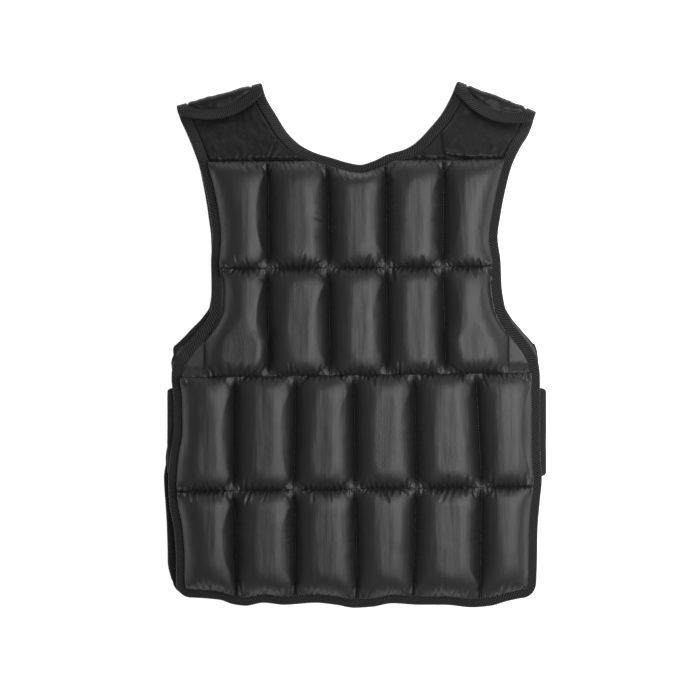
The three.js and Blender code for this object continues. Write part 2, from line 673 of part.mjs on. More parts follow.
// An elastic band folded double, its fold standing out at the hip and its two ends tucked between the tapes.
function hipBand(side) {
  const sign = side === "left" ? -1 : 1;
  const reach = halfWidth + (side === "left" ? bandStandOutLeft : bandStandOutRight);
  const bottom = backBaseZ + tapeReach + fitGap;
  const top = frontBaseZ - tapeReach - fitGap;
  const middle = (bottom + top) / 2;
  const radius = (top - bottom) / 2;
  const inside = Math.min(...span(bandBottom, bandBottom + bandHeight, 8).map((up) => Math.abs(edgeOf[side](up))));
  const end = inside - bandTuck;
  const turn = reach - radius;
  const shape = new THREE.Shape();
  shape.moveTo(end, bottom);
  shape.lineTo(turn, bottom);
  shape.absarc(turn, middle, radius, -Math.PI / 2, Math.PI / 2, false);
  shape.lineTo(end, top);
  shape.lineTo(end, top - bandThickness);
  shape.lineTo(turn, top - bandThickness);
  shape.absarc(turn, middle, radius - bandThickness, Math.PI / 2, -Math.PI / 2, true);
  shape.lineTo(end, bottom + bandThickness);
  const band = new THREE.ExtrudeGeometry(shape, { depth: bandHeight, bevelEnabled: false, curveSegments: 6 });
  band.rotateX(Math.PI / 2).translate(0, bandBottom + bandHeight, 0);
  const face = new THREE.Shape();
  const [lowUp, highUp] = [bandBottom, bandBottom + bandHeight];
  const r = bandCornerRadius;
  face.moveTo(0, lowUp);
  face.lineTo(reach - r, lowUp);
  face.absarc(reach - r, lowUp + r, r, -Math.PI / 2, 0, false);
  face.absarc(reach - r, highUp - r, r, 0, Math.PI / 2, false);
  face.lineTo(0, highUp);
  const rounded = new THREE.ExtrudeGeometry(face, { depth: top + radius, bevelEnabled: false, curveSegments: 4 });
  const made = geometryFrom(solidOf(band).intersect(solidOf(rounded)));
  return sign > 0 ? made : mirrored(made);
}

function mirrored(geometry) {
  const made = geometry.clone().scale(-1, 1, 1);
  made.setIndex(Array.from(made.index.array).reverse());
  return made;
}

const cloth = new THREE.MeshStandardMaterial({ color: clothColour, roughness: 0.55, metalness: 0 });
const tape = new THREE.MeshStandardMaterial({ color: tapeColour, roughness: 0.8, metalness: 0 });
const elastic = new THREE.MeshStandardMaterial({ color: bandColour, roughness: 0.75, metalness: 0 });

const vest = new THREE.Group();

function addPiece(name, geometry, material) {
  geometry.computeVertexNormals();
  const piece = new THREE.Mesh(geometry, material);
  piece.name = name;
  vest.add(piece);
}

function addPanel(panel) {
  const cut = cutPanel(panel);
  const placed = (x, up, h) => lay(panel, x, up, h);
  addPiece(`${panel.name}_base_cloth`, baseSheet(cut), cloth);
  pocketRows.forEach((_, index) => {
    addPiece(`${panel.name}_pocket_row_${pocketRows.length - index}`, pocketStrip(cut, index), cloth);
  });
  for (const side of ["left", "right"]) {
    addPiece(`${panel.name}_yoke_${side}`, yoke(cut, side), cloth);
    if (panel.folds) addPiece(`shoulder_flap_tape_${side}`, flapTape(cut, side), tape);
  }
  addPiece(`${panel.name}_edge_tape`, tapeAlong(cut.outer, placed), tape);
  addPiece(`${panel.name}_neck_tape`, tapeAlong(cut.neck, placed, 2), tape);
}

addPanel(panels.back);
addPanel(panels.front);
for (const side of ["left", "right"]) addPiece(`hip_band_${side}`, hipBand(side), elastic);

// The origin is on the floor, under the middle of the vest.
const extent = new THREE.Box3().setFromObject(vest);
const centre = extent.getCenter(new THREE.Vector3());
vest.position.set(-centre.x, -centre.y, -extent.min.z);

export default vest;
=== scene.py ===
"""A quilted weighted vest lying flat on its back.

Lengths are in millimetres in the pattern, where x runs across, up runs from the hem to the shoulders and h
stands away from a panel's base cloth. lay() puts the pattern where the vest lies, and mesh() turns it into
metres.
"""
import math

import bpy
import numpy as np
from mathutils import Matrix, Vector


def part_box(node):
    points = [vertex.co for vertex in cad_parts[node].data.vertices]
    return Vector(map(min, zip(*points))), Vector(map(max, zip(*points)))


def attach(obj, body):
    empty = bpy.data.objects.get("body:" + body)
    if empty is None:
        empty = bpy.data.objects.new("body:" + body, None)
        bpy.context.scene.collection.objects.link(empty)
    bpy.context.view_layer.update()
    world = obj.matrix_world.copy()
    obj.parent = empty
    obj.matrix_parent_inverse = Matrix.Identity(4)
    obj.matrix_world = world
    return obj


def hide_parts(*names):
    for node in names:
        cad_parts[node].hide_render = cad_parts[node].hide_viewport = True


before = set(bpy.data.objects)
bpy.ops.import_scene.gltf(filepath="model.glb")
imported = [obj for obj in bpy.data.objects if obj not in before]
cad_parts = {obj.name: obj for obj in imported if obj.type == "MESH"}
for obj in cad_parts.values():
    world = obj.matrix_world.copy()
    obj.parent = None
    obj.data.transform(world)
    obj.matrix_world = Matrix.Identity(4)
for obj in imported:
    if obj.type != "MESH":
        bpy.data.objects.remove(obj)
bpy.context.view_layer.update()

# ---- Driving sizes, as in the frame ----
VEST_LENGTH = 527.0
HALF_WIDTH = 185.0
HEM_CORNER_RADIUS = 15.0
BACK_HEM_INSET = 2.0
BASE_CLOTH = 1.5
POCKET_CLOTH = 1.5
YOKE_CLOTH = 2.6
PACK_HEIGHT = 17.0
TORSO_GAP = 10.0
TAPE_WIDTH = 10.5
TAPE_THICKNESS = 1.2
FIT_GAP = 0.3
FLAP_LENGTH = 17.0
FLAP_CORNER_LENGTH = 1.5
FLAP_CLEARANCE = 0.6
BAND_BOTTOM = 131.0
BAND_HEIGHT = 88.0
BAND_THICKNESS = 2.0
BAND_REACH = {"left": 187.5, "right": 191.0}
BAND_TUCK = 9.0

# Side edges: up as a share of the length, then the left and right edge and how much further out the back
# panel lies, as shares of the half width.
SIDES = np.array([
    # up, left, right, back left, back right
    (0.000, 0.962, 0.972, 0.020, -0.016),
    (0.042, 0.964, 0.977, 0.026, -0.016),
    (0.087, 0.964, 0.981, 0.050, -0.016),
    (0.148, 0.975, 0.984, 0.043, -0.016),
    (0.197, 1.000, 0.995, 0.026, -0.016),
    (0.245, 1.006, 1.007, 0.028, -0.020),
    (0.288, 0.997, 1.000, 0.016, -0.020),
    (0.336, 0.976, 0.998, 0.000, -0.020),
    (0.393, 0.978, 0.998, -0.014, -0.020),
    (0.435, 0.989, 0.997, -0.005, -0.020),
    (0.461, 0.982, 0.990, 0.012, -0.020),
    (0.488, 0.930, 0.959, 0.035, -0.020),
    (0.514, 0.865, 0.905, 0.038, -0.016),
    (0.541, 0.805, 0.846, 0.027, -0.014),
    (0.567, 0.777, 0.810, 0.012, -0.012),
    (0.611, 0.774, 0.790, 0.000, -0.010),
    (0.655, 0.776, 0.785, 0.000, -0.010),
    (0.700, 0.769, 0.769, 0.010, -0.010),
    (0.744, 0.781, 0.785, 0.013, -0.010),
    (0.791, 0.805, 0.811, 0.011, -0.008),
    (0.837, 0.841, 0.846, 0.003, -0.004),
    (0.867, 0.872, 0.886, 0.000, -0.002),
    (0.901, 0.914, 0.945, 0.000, 0.000),
    (0.928, 0.950, 0.972, 0.000, 0.000),
    (0.947, 0.967, 0.980, 0.000, 0.000),
])
# Neckline and hem: across as a share of the half width, height as a share of the length.
NECK = np.array([
    (-0.516, 1.010), (-0.484, 0.970), (-0.427, 0.935), (-0.378, 0.906), (-0.341, 0.890), (-0.292, 0.875),
    (-0.216, 0.861), (-0.124, 0.851), (-0.038, 0.842), (0.027, 0.838), (0.092, 0.844), (0.178, 0.858),
    (0.265, 0.867), (0.308, 0.875), (0.357, 0.890), (0.400, 0.907), (0.465, 0.935), (0.520, 0.970),
    (0.565, 1.010),
])
HEM = np.array([
    (-0.950, 0.0200), (-0.860, 0.0190), (-0.730, 0.0152), (-0.655, 0.0066), (-0.589, 0.0038),
    (-0.492, 0.0095), (-0.384, 0.0057), (-0.211, 0.0095), (-0.103, 0.0057), (-0.005, 0.0000),
    (0.092, 0.0019), (0.200, 0.0085), (0.351, 0.0057), (0.481, 0.0057), (0.632, 0.0009), (0.730, 0.0038),
    (0.816, 0.0123), (0.892, 0.0180), (0.950, 0.0210),
])
SIGN = {"left": -1, "right": 1}
FOLD_LINES = {"left": (0.939, 0.982), "right": (0.928, 0.986)}
SEAM_LINES = [(0.2205, 0.2304), (0.4355, 0.4450), (0.6400, 0.6458), (0.8425, 0.8480)]
# Vertical seams of each row from the hem up, at the row's lower and upper end, as shares of the half width.
# An ear is a flat end cut off by its own seam.
ROWS = [
    {"low": (-0.638, -0.322, 0.011, 0.314, 0.671), "high": (-0.652, -0.327, -0.002, 0.325, 0.677)},
    {"low": (-0.650, -0.330, -0.002, 0.328, 0.679), "high": (-0.646, -0.322, -0.009, 0.317, 0.646)},
    {"low": (-0.463, -0.135, 0.172, 0.486), "high": (-0.475, -0.146, 0.165, 0.469), "ears": (-0.815, 0.830)},
    {"low": (-0.466, -0.141, 0.165, 0.468), "high": (-0.470, -0.152, 0.165, 0.476)},
]

# ---- Heights of the layers ----
SHEET_REACH = BASE_CLOTH / 2 + FIT_GAP
TAPE_REACH = SHEET_REACH + TAPE_THICKNESS
BACK_Z = PACK_HEIGHT + POCKET_CLOTH + SHEET_REACH
FRONT_Z = BACK_Z + BASE_CLOTH + TORSO_GAP
BACK_STRAP_Z = SHEET_REACH + YOKE_CLOTH + FIT_GAP
FRONT_STRAP_Z = BACK_STRAP_Z + 2 * TAPE_REACH + FIT_GAP
FLAP_Z = FRONT_STRAP_Z + SHEET_REACH + YOKE_CLOTH + FLAP_CLEARANCE + TAPE_REACH
FOLD_RADIUS = (FLAP_Z - BACK_STRAP_Z) / 2
FOLD_LENGTH = math.pi * FOLD_RADIUS
FRONT = {"name": "front", "outward": 1, "z": FRONT_Z, "strap_z": FRONT_STRAP_Z, "folds": False}
BACK = {"name": "back", "outward": -1, "z": BACK_Z, "strap_z": BACK_STRAP_Z, "folds": True}

# The pattern's place in the frame, from the hip band that it is measured by.
band_low, band_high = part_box("hip_band_right")
SHIFT = np.array([band_high.x * 1000 - BAND_REACH["right"], band_low.y * 1000 - BAND_BOTTOM, 0.0])


# ---- The pattern ----
def smooth(x, y):
    """A monotone cubic through the points, going straight on past both ends."""
    slope = np.diff(y) / np.diff(x)
    product = slope[:-1] * slope[1:]
    inner = np.where(product > 0, 2 * product / (slope[:-1] + slope[1:] + 1e-12), 0)
    tangent = np.concatenate([slope[:1], inner, slope[-1:]])

    def at(value):
        value = np.asarray(value, float)
        i = np.clip(np.searchsorted(x, value) - 1, 0, len(x) - 2)
        step = x[i + 1] - x[i]
        t = np.clip((value - x[i]) / step, 0, 1)
        beyond = value - x[i] - t * step
        end = np.where(t >= 1, tangent[i + 1], tangent[i])
        return (y[i] * (1 + 2 * t) * (1 - t) ** 2 + tangent[i] * step * t * (1 - t) ** 2
                + y[i + 1] * t * t * (3 - 2 * t) + tangent[i + 1] * step * t * t * (t - 1) + beyond * end)
    return at


EDGE = {"left": smooth(SIDES[:, 0] * VEST_LENGTH, -SIDES[:, 1] * HALF_WIDTH),
        "right": smooth(SIDES[:, 0] * VEST_LENGTH, SIDES[:, 2] * HALF_WIDTH)}
BACK_EXTRA = {"left": smooth(SIDES[:, 0] * VEST_LENGTH, -SIDES[:, 3] * HALF_WIDTH),
              "right": smooth(SIDES[:, 0] * VEST_LENGTH, SIDES[:, 4] * HALF_WIDTH)}
neck_up = smooth(NECK[:, 0] * HALF_WIDTH, NECK[:, 1] * VEST_LENGTH)
hem_line = smooth(HEM[:, 0] * HALF_WIDTH, HEM[:, 1] * VEST_LENGTH)


def side_x(panel, side, up):
    return EDGE[side](up) + (BACK_EXTRA[side](up) if panel["folds"] else 0)


def hem_up(panel, x):
    return hem_line(x) + (BACK_HEM_INSET if panel["folds"] else 0)


def seam_up(k, x):
    left, right = SEAM_LINES[k]
    return (left + (right - left) * (x / HALF_WIDTH + 1) / 2) * VEST_LENGTH


def ease(t):
    t = np.clip(t, 0, 1)
    return t * t * (3 - 2 * t)


def neck_across(side, up):
    xs = np.arange(0.03, 1, 0.001) * HALF_WIDTH * SIGN[side]
    return xs[np.argmax(neck_up(xs) >= up)]


def fold_at(side):
    outer, inner = (share * VEST_LENGTH for share in FOLD_LINES[side])
    start = np.array([EDGE[side](outer), outer])
    inner_x = neck_across(side, inner)
    across = np.array([inner_x, neck_up(inner_x)]) - start
    width = np.linalg.norm(across)
    across /= width
    away = np.array([across[1], -across[0]]) * SIGN[side]
    return {"start": start, "across": across, "away": away, "width": width}


FOLDS = {side: fold_at(side) for side in ("left", "right")}


def fold_frames(x):
    """The nearer shoulder's start, across and away for each x."""
    left = (x < 0)[..., None]
    return [np.where(left, FOLDS["left"][key], FOLDS["right"][key]) for key in ("start", "across", "away")]


def height_at(panel, x, up):
    start, across, _ = fold_frames(x)
    fold_up = start[..., 1] + (x - start[..., 0]) * across[..., 1] / across[..., 0]
    seam = seam_up(3, x)
    return panel["z"] + (panel["strap_z"] - panel["z"]) * ease((up - seam) / (fold_up - seam))


def lay(panel, x, up, h):
    """From the pattern to where the cloth lies."""
    x, up, h = np.broadcast_arrays(np.asarray(x, float), up, h)
    flat = np.stack([x, up, height_at(panel, x, up) + h], -1)
    if not panel["folds"]:
        return flat
    start, _, away = fold_frames(x)
    past = (x - start[..., 0]) * away[..., 0] + (up - start[..., 1]) * away[..., 1]
    turn = np.clip(past / FOLD_RADIUS, 0, math.pi)
    beyond = np.maximum(0, past - FOLD_LENGTH)
    reach = (FOLD_RADIUS - h) * np.sin(turn) - beyond - past
    laid_x, laid_up = x + away[..., 0] * reach, up + away[..., 1] * reach
    rise = np.where(beyond > 0, height_at(FRONT, laid_x, laid_up) - FRONT_STRAP_Z, 0)
    turned = np.stack([laid_x, laid_up, FLAP_Z - FOLD_RADIUS - (FOLD_RADIUS - h) * np.cos(turn) + rise], -1)
    return np.where((past > 0)[..., None], turned, flat)


def leftward(line):
    """Unit directions to the left of a line's run."""
    run = np.gradient(line, axis=0)
    normal = np.stack([-run[:, 1], run[:, 0]], -1)
    return normal / np.linalg.norm(normal, axis=1, keepdims=True)


def distances(line):
    """How far along a line each of its points lies."""
    return np.concatenate([[0], np.cumsum(np.linalg.norm(np.diff(line, axis=0), axis=1))])


def resample(line, count):
    along = distances(line)
    at = np.linspace(0, along[-1], count)
    return np.stack([np.interp(at, along, line[:, k]) for k in range(line.shape[1])], -1)


def past_fold(side, line):
    fold = FOLDS[side]
    return (line - fold["start"]) @ fold["away"]


def strap_edges(panel, side, inset=0.0, count=60):
    """A shoulder's outer and inner edge from the yoke seam to the fold line, set in by a distance."""
    ups = np.arange(SEAM_LINES[3][0] * VEST_LENGTH - 30, VEST_LENGTH * 1.01, 1.0)
    outer = np.stack([side_x(panel, side, ups), ups], -1)
    sign = SIGN[side]
    xs = np.arange(0.03 * HALF_WIDTH, neck_across(side, 1.008 * VEST_LENGTH) * sign, 0.5) * sign
    inner = np.stack([xs, neck_up(xs)], -1)
    edges = []
    for line, turn in ((outer, sign), (inner, -sign)):
        moved = line + leftward(line) * turn * inset
        keep = (moved[:, 1] > seam_up(3, moved[:, 0])) & (past_fold(side, moved) < 0)
        first, last = np.flatnonzero(keep)[[0, -1]]
        edges.append(resample(moved[max(first - 1, 0):last + 2], count))
    return edges


def past_edge(side, point):
    """The straight run of an edge past the fold line, round the fold."""
    reach = np.arange(1.0, FOLD_LENGTH + 1.0)[:, None]
    return point + FOLDS[side]["away"] * reach


def hem_corner(panel, side):
    """Centre of the hem's rounded corner."""
    x = side_x(panel, side, 0.03 * VEST_LENGTH) - HEM_CORNER_RADIUS * SIGN[side]
    return np.array([x, hem_up(panel, x) + HEM_CORNER_RADIUS])


def hem_inside(panel, x, inset):
    """The hem set in, with both of its rounded corners."""
    low = hem_up(panel, x) + inset
    radius = HEM_CORNER_RADIUS - inset
    for side, sign in SIGN.items():
        centre = hem_corner(panel, side)
        over = np.clip((x - centre[0]) * sign, 0, radius)
        low = np.where(over > 0, centre[1] - np.sqrt(radius ** 2 - over ** 2), low)
    return low


def panel_outline(panel):
    """The panel's edge from the left shoulder round the hem to the right one, with the body to its left."""
    straps = {side: strap_edges(panel, side) for side in ("left", "right")}
    left, right = hem_corner(panel, "left"), hem_corner(panel, "right")

    def arc(centre, first):
        angle = first + np.linspace(0, math.pi / 2, 14)[1:-1]
        return centre + HEM_CORNER_RADIUS * np.stack([np.cos(angle), np.sin(angle)], -1)

    down = np.arange(straps["left"][0][0, 1], left[1], -1.0)
    along = np.arange(left[0], right[0], 1.0)
    rising = np.arange(right[1], straps["right"][0][0, 1], 1.0)
    parts = [
        straps["left"][0][::-1],
        np.stack([side_x(panel, "left", down), down], -1)[1:],
        arc(left, math.pi),
        np.stack([along, hem_up(panel, along)], -1),
        arc(right, -math.pi / 2),
        np.stack([side_x(panel, "right", rising), rising], -1),
        straps["right"][0][1:],
    ]
    if panel["folds"]:
        parts.insert(0, past_edge("left", straps["left"][0][-1])[::-1])
        parts.append(past_edge("right", straps["right"][0][-1]))
    return np.concatenate(parts)


def neck_outline(panel):
    """The neckline from the right shoulder to the left one, with the body to its left."""
    straps = {side: strap_edges(panel, side)[1] for side in ("left", "right")}
    xs = np.arange(straps["right"][0, 0], straps["left"][0, 0], -0.5)
    parts = [straps["right"][::-1], np.stack([xs, neck_up(xs)], -1)[1:-1], straps["left"]]
    if panel["folds"]:
        parts.insert(0, past_edge("right", straps["right"][-1])[::-1])
        parts.append(past_edge("left", straps["left"][-1]))
    return np.concatenate(parts)


# ---- Meshes ----
def mesh(name, points, faces, uv=None):
    """An object from pattern millimetres already laid, with an optional flat map in millimetres."""
    made = bpy.data.meshes.new(name)
    made.from_pydata(((np.asarray(points) + SHIFT) / 1000).tolist(), [], faces)
    if uv is not None:
        layer = made.uv_layers.new(name="flat")
        order = np.empty(len(made.loops), int)
        made.loops.foreach_get("vertex_index", order)
        layer.data.foreach_set("uv", (np.asarray(uv)[order] / 1000).ravel())
    made.polygons.foreach_set("use_smooth", [True] * len(made.polygons))
    made.update()
    piece = bpy.data.objects.new(name, made)
    bpy.context.collection.objects.link(piece)
    return piece


def quads(rows, columns, first=0, flip=False, wrap=False):
    """Quads of a grid whose points are listed row by row."""
    j, i = np.meshgrid(np.arange(rows - 1), np.arange(columns if wrap else columns - 1), indexing="ij")
    right = (i + 1) % columns
    corners = [j * columns + i, j * columns + right, (j + 1) * columns + right, (j + 1) * columns + i]
    faces = np.stack(corners, -1).reshape(-1, 4) + first
    return (faces[:, ::-1] if flip else faces).tolist()


def rim_of(rows, columns):
    """The grid's outer points in order."""
    bottom = list(range(columns - 1))
    right = [j * columns + columns - 1 for j in range(rows - 1)]
    top = [(rows - 1) * columns + i for i in range(columns - 1, 0, -1)]
    left = [j * columns for j in range(rows - 1, 0, -1)]
    return bottom + right + top + left


def walls(upper, lower, facing_up):
    """Quads between two rims whose points are listed in the same order."""
    quads_round = zip(upper, lower, lower[1:] + lower[:1], upper[1:] + upper[:1])
    return [quad if facing_up else quad[::-1] for quad in quads_round]


def closed_grid(name, upper, lower, flat, facing_up=True):
    """A closed sheet from two grids of the same size, with its rim walled."""
    rows, columns = upper.shape[:2]
    points = np.concatenate([upper.reshape(-1, 3), lower.reshape(-1, 3)])
    below = rows * columns
    faces = quads(rows, columns, flip=not facing_up) + quads(rows, columns, below, flip=facing_up)
    rim = rim_of(rows, columns)
    faces += walls(rim, [n + below for n in rim], facing_up)
    uv = np.concatenate([flat.reshape(-1, 2)] * 2)
    return mesh(name, points, faces, uv)


def waves(x, y, length, seed):
    """Smooth seeded noise from -1 to 1 with features about one length across."""
    source = np.random.default_rng(seed)
    total = np.zeros(np.broadcast(x, y).shape)
    for octave in range(3):
        for _ in range(5):
            angle = source.uniform(0, math.pi)
            bend = source.uniform(0, 2 * math.pi, 2)
            k = 2 * math.pi / length * 1.8 ** octave
            u = x * math.cos(angle) + y * math.sin(angle)
            v = -x * math.sin(angle) + y * math.cos(angle)
            total = total + np.sin(k * u + bend[0] + 1.3 * np.sin(0.43 * k * v + bend[1])) / 1.7 ** octave
    return total / 8


def finished(piece, material, slot, *nodes, fill=None):
    """Gives a piece its material and lets it ride and stand for its CAD nodes; the slot is not used."""
    piece.data.materials.append(material)
    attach(piece, "root")
    if nodes:
        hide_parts(*nodes)
    return piece


# ---- Cloth over the ballast packs ----
GRID_STEP = {"front": 1.45, "back": 2.6}
FINER = 2
SEAM_H = SHEET_REACH + 0.9
TUCKED_H = BASE_CLOTH / 2 + 0.15
TUCK = 2.0
RELAX_STEPS = 260
PRESSURE = 0.007
SLACK = 1.012
PACK_END_RUN = 11.0
PACK_END_DROP = 4.6
ROW_SEAM_H = 9.0
SEAM_RISE = 1.15
SEAM_RISE_RUN = 3.6
SEAM_FULLNESS = 0.045
END_TAUTNESS = 0.65
CORNER_REACH = 11.0
CORNER_SMOOTHING = 50
FAR = 99.0
EDGE_RISE = 0.6
EDGE_RISE_RUN = 8.0
PACK_EDGE = 3.6
PACK_WAIST = 0.88
PACK_END_WIDTH = 1.48
PACK_WIDTH_SHARE = 0.585
PACK_SHIFT_SHARE = 0.045


def pull(q, weight, a, b, rest, stiffness):
    """Draws the points a and b towards their rest distance, each by its share of the weight."""
    apart = q[b] - q[a]
    length = np.sqrt((apart * apart).sum(-1)) + 1e-6
    wa, wb = weight[a], weight[b]
    apart *= (stiffness * (length - rest) / (length * np.maximum(wa + wb, 1)))[..., None]
    q[a] += apart * wa[..., None]
    q[b] -= apart * wb[..., None]


PACK_KEYS = ("x", "up", "half_width", "half_length", "top", "tilt", "pitch")


def pack_top(x, up, pack):
    """Height of the ballast pack's upper side: rounded edges, tapering ends and a domed, tilted top."""
    off_x, off_up = x - pack["x"], up - pack["up"]
    along = np.clip(np.abs(off_up) / pack["half_length"], 0, 1)
    half_width = pack["half_width"] * (PACK_WAIST + (PACK_END_WIDTH - PACK_WAIST) * along ** 2.2)
    in_x, in_up = half_width - np.abs(off_x), pack["half_length"] - np.abs(off_up)
    depth = PACK_EDGE - np.hypot(np.maximum(PACK_EDGE - in_x, 0), np.maximum(PACK_EDGE - in_up, 0))
    rim = np.clip(depth, 0, PACK_EDGE)
    rounding = PACK_EDGE - np.sqrt(PACK_EDGE ** 2 - (PACK_EDGE - rim) ** 2)
    dome = 0.6 * (off_x / pack["half_width"]) ** 2 + PACK_END_DROP * along ** 3
    tilt = pack["tilt"] * off_x / pack["half_width"] + pack["pitch"] * off_up / pack["half_length"]
    top = pack["top"] - rounding - dome + tilt
    return np.where(depth > 0, np.maximum(top, SEAM_H), SEAM_H - 0.3)


def relax(points, held, rest_x, rest_up, pack, pressure, lowest):
    """Draws cloth of a fixed cut, held along its seams, over the packs. It gathers where it is too long."""
    q = points.astype(np.float32)
    weight = np.where(held, 0, 1).astype(np.float32)
    rest_x, rest_up = rest_x.astype(np.float32), rest_up.astype(np.float32)
    slant = np.sqrt(rest_x[:-1] ** 2 + rest_up[:, :-1] ** 2)
    speed = np.zeros_like(q)
    everywhere = slice(None)
    rows, columns = held.shape
    ceiling = pack["top"] + 0.8
    for _ in range(RELAX_STEPS):
        across = np.gradient(q, axis=1)
        along = np.gradient(q, axis=0)
        normal = np.cross(across, along)
        normal /= np.linalg.norm(normal, axis=-1, keepdims=True) + 1e-6
        speed = speed * 0.9 + normal * pressure[..., None]
        before = q.copy()
        q += speed * weight[..., None]
        for _ in range(2):
            for first in (0, 1):
                pull(q, weight, (everywhere, slice(first, columns - 1, 2)),
                     (everywhere, slice(first + 1, columns, 2)), rest_x[:, first::2], 1.0)
                pull(q, weight, (slice(first, rows - 1, 2), everywhere),
                     (slice(first + 1, rows, 2), everywhere), rest_up[first::2], 1.0)
            pull(q, weight, (slice(0, -1), slice(0, -1)), (slice(1, None), slice(1, None)), slant, 0.1)
            pull(q, weight, (slice(0, -1), slice(1, None)), (slice(1, None), slice(0, -1)), slant, 0.1)
            pull(q, weight, (everywhere, slice(0, -2)), (everywhere, slice(2, None)),
                 rest_x[:, :-1] + rest_x[:, 1:], 0.05)
            pull(q, weight, (slice(0, -2), everywhere), (slice(2, None), everywhere),
                 rest_up[:-1] + rest_up[1:], 0.1)
        below = np.maximum(pack_top(q[..., 0], q[..., 1], pack), lowest)
        q[..., 2] = np.where(held, q[..., 2], np.clip(q[..., 2], below, ceiling))
        speed = q - before
    return q.astype(float)


def inset_side(panel, side, inset):
    """x of a panel's side line, set in, as a function of the height."""
    ups = np.arange(-20, SEAM_LINES[3][1] * VEST_LENGTH + 30, 1.0)
    line = np.stack([side_x(panel, side, ups), ups], -1)
    moved = line + leftward(line) * SIGN[side] * inset
    return lambda up: np.interp(up, moved[:, 1], moved[:, 0])


def inset_neck(inset):
    xs = np.arange(-0.5, 0.5, 0.002) * HALF_WIDTH
    line = np.stack([xs, neck_up(xs)], -1)
    moved = line - leftward(line) * inset
    return lambda x: np.interp(x, moved[:, 0], moved[:, 1])


def sewn_up(k, x):
    """A row seam as sewn through the gathered cloth: the seam line with a slight waver."""
    return seam_up(k, x) + 0.45 * waves(x, 0 * x, 9.0, 700 + k)


def row_pattern(panel, k):
    """A pocket row's flat grid: x, up, the columns on its seams, and whether its ends are ears."""
    step = GRID_STEP[panel["name"]]
    row = ROWS[k]
    under = TAPE_WIDTH - TUCK
    neck_in = inset_neck(under)
    edges = {side: inset_side(panel, side, under) for side in ("left", "right")}

    def low(x):
        return hem_up(panel, x) + under if k == 0 else sewn_up(k - 1, x)

    def high(x):
        return np.minimum(sewn_up(3, x), neck_in(x)) if k == 3 else sewn_up(k, x)

    v = np.linspace(0, 1, int(round(VEST_LENGTH * 0.21 / step)) + 1)
    left, right = (edges[side](low(x) + (high(x) - low(x)) * v)
                   for side, x in (("left", -0.9 * HALF_WIDTH), ("right", 0.9 * HALF_WIDTH)))
    inside = [(a + (b - a) * v) * HALF_WIDTH for a, b in zip(row["low"], row["high"])]
    lines = [left, *inside, right]
    if "ears" in row:
        lines[1:1] = [np.maximum(left + 3.5, row["ears"][0] * HALF_WIDTH)]
        lines[-1:-1] = [np.minimum(right - 3.5, row["ears"][1] * HALF_WIDTH)]
    columns, seams = [], [0]
    for a, b in zip(lines, lines[1:]):
        count = max(4, int(round(np.mean(b - a) / step)))
        columns += [a + (b - a) * s for s in np.arange(count) / count]
        seams.append(seams[-1] + count)
    x = np.stack(columns + [lines[-1]], 1)
    up = low(x) + (high(x) - low(x)) * v[:, None]
    return x, up, seams, "ears" in row


def swell(t):
    """Rises from 0 to 1 and falls back as t goes from 0 to 1, like a filled pocket's section."""
    return np.clip(1 - np.abs(2 * t - 1) ** 3.0, 0, 1) ** 0.6


def hull_length(across, heights):
    """Length of a taut thread laid over a profile and held at both of its ends."""
    kept = []
    for point in zip(across, heights):
        while len(kept) > 1:
            (ax, ay), (bx, by) = kept[-2:]
            if (bx - ax) * (point[1] - ay) - (by - ay) * (point[0] - ax) < 0:
                break
            kept.pop()
        kept.append(point)
    return sum(math.dist(a, b) for a, b in zip(kept, kept[1:]))


def finer(grid):
    """A grid with more columns, each new one on the line between its neighbours."""
    count = grid.shape[1]
    at = np.arange((count - 1) * FINER + 1) / FINER
    i = np.minimum(at.astype(int), count - 2)
    t = (at - i).reshape((-1,) + (1,) * (grid.ndim - 2))
    return grid[:, i] * (1 - t) + grid[:, i + 1] * t


# Gathers along a row's lower and upper seam, beside its upright seams and on the yokes: spacing, reach and
# depth.
ROW_GATHERS = {"low": (4.6, 7.5, 2.3), "high": (5.0, 8.0, 2.4)}
UPRIGHT_GATHERS = {"right": (13.0, 4.5, 0.8), "left": (12.0, 4.0, 0.7)}
YOKE_GATHERS = (4.5, 5.0, 1.2)


def gathers(along, off, seed, size):
    """Short folds that run away from a seam: how far they sink at a distance along and off it."""
    spacing, reach, depth = size
    source = np.random.default_rng(seed)
    total = np.zeros(along.shape)
    near = np.flatnonzero((off >= 0) & (off < 2 * reach))
    if not len(near):
        return total
    u, d = along.flat[near], off.flat[near]
    sunk = np.zeros(len(near))
    at = u.min()
    while at < u.max():
        at += source.uniform(0.55, 1.45) * spacing
        length = reach * (source.uniform(0.35, 1.0) if source.uniform() < 0.86 else source.uniform(1.2, 2.0))
        wide = source.uniform(0.9, 1.7)
        lean = source.uniform(-0.45, 0.45)
        deep = depth * source.uniform(0.35, 1.0)
        run = (u - at - lean * d) / wide
        fade = np.sqrt(np.clip(1 - d / length, 0, 1))
        sunk += deep * fade * (np.exp(-run * run) - 0.4 * np.exp(-((np.abs(run) - 2.0) ** 2)))
    total.flat[near] = sunk
    return total


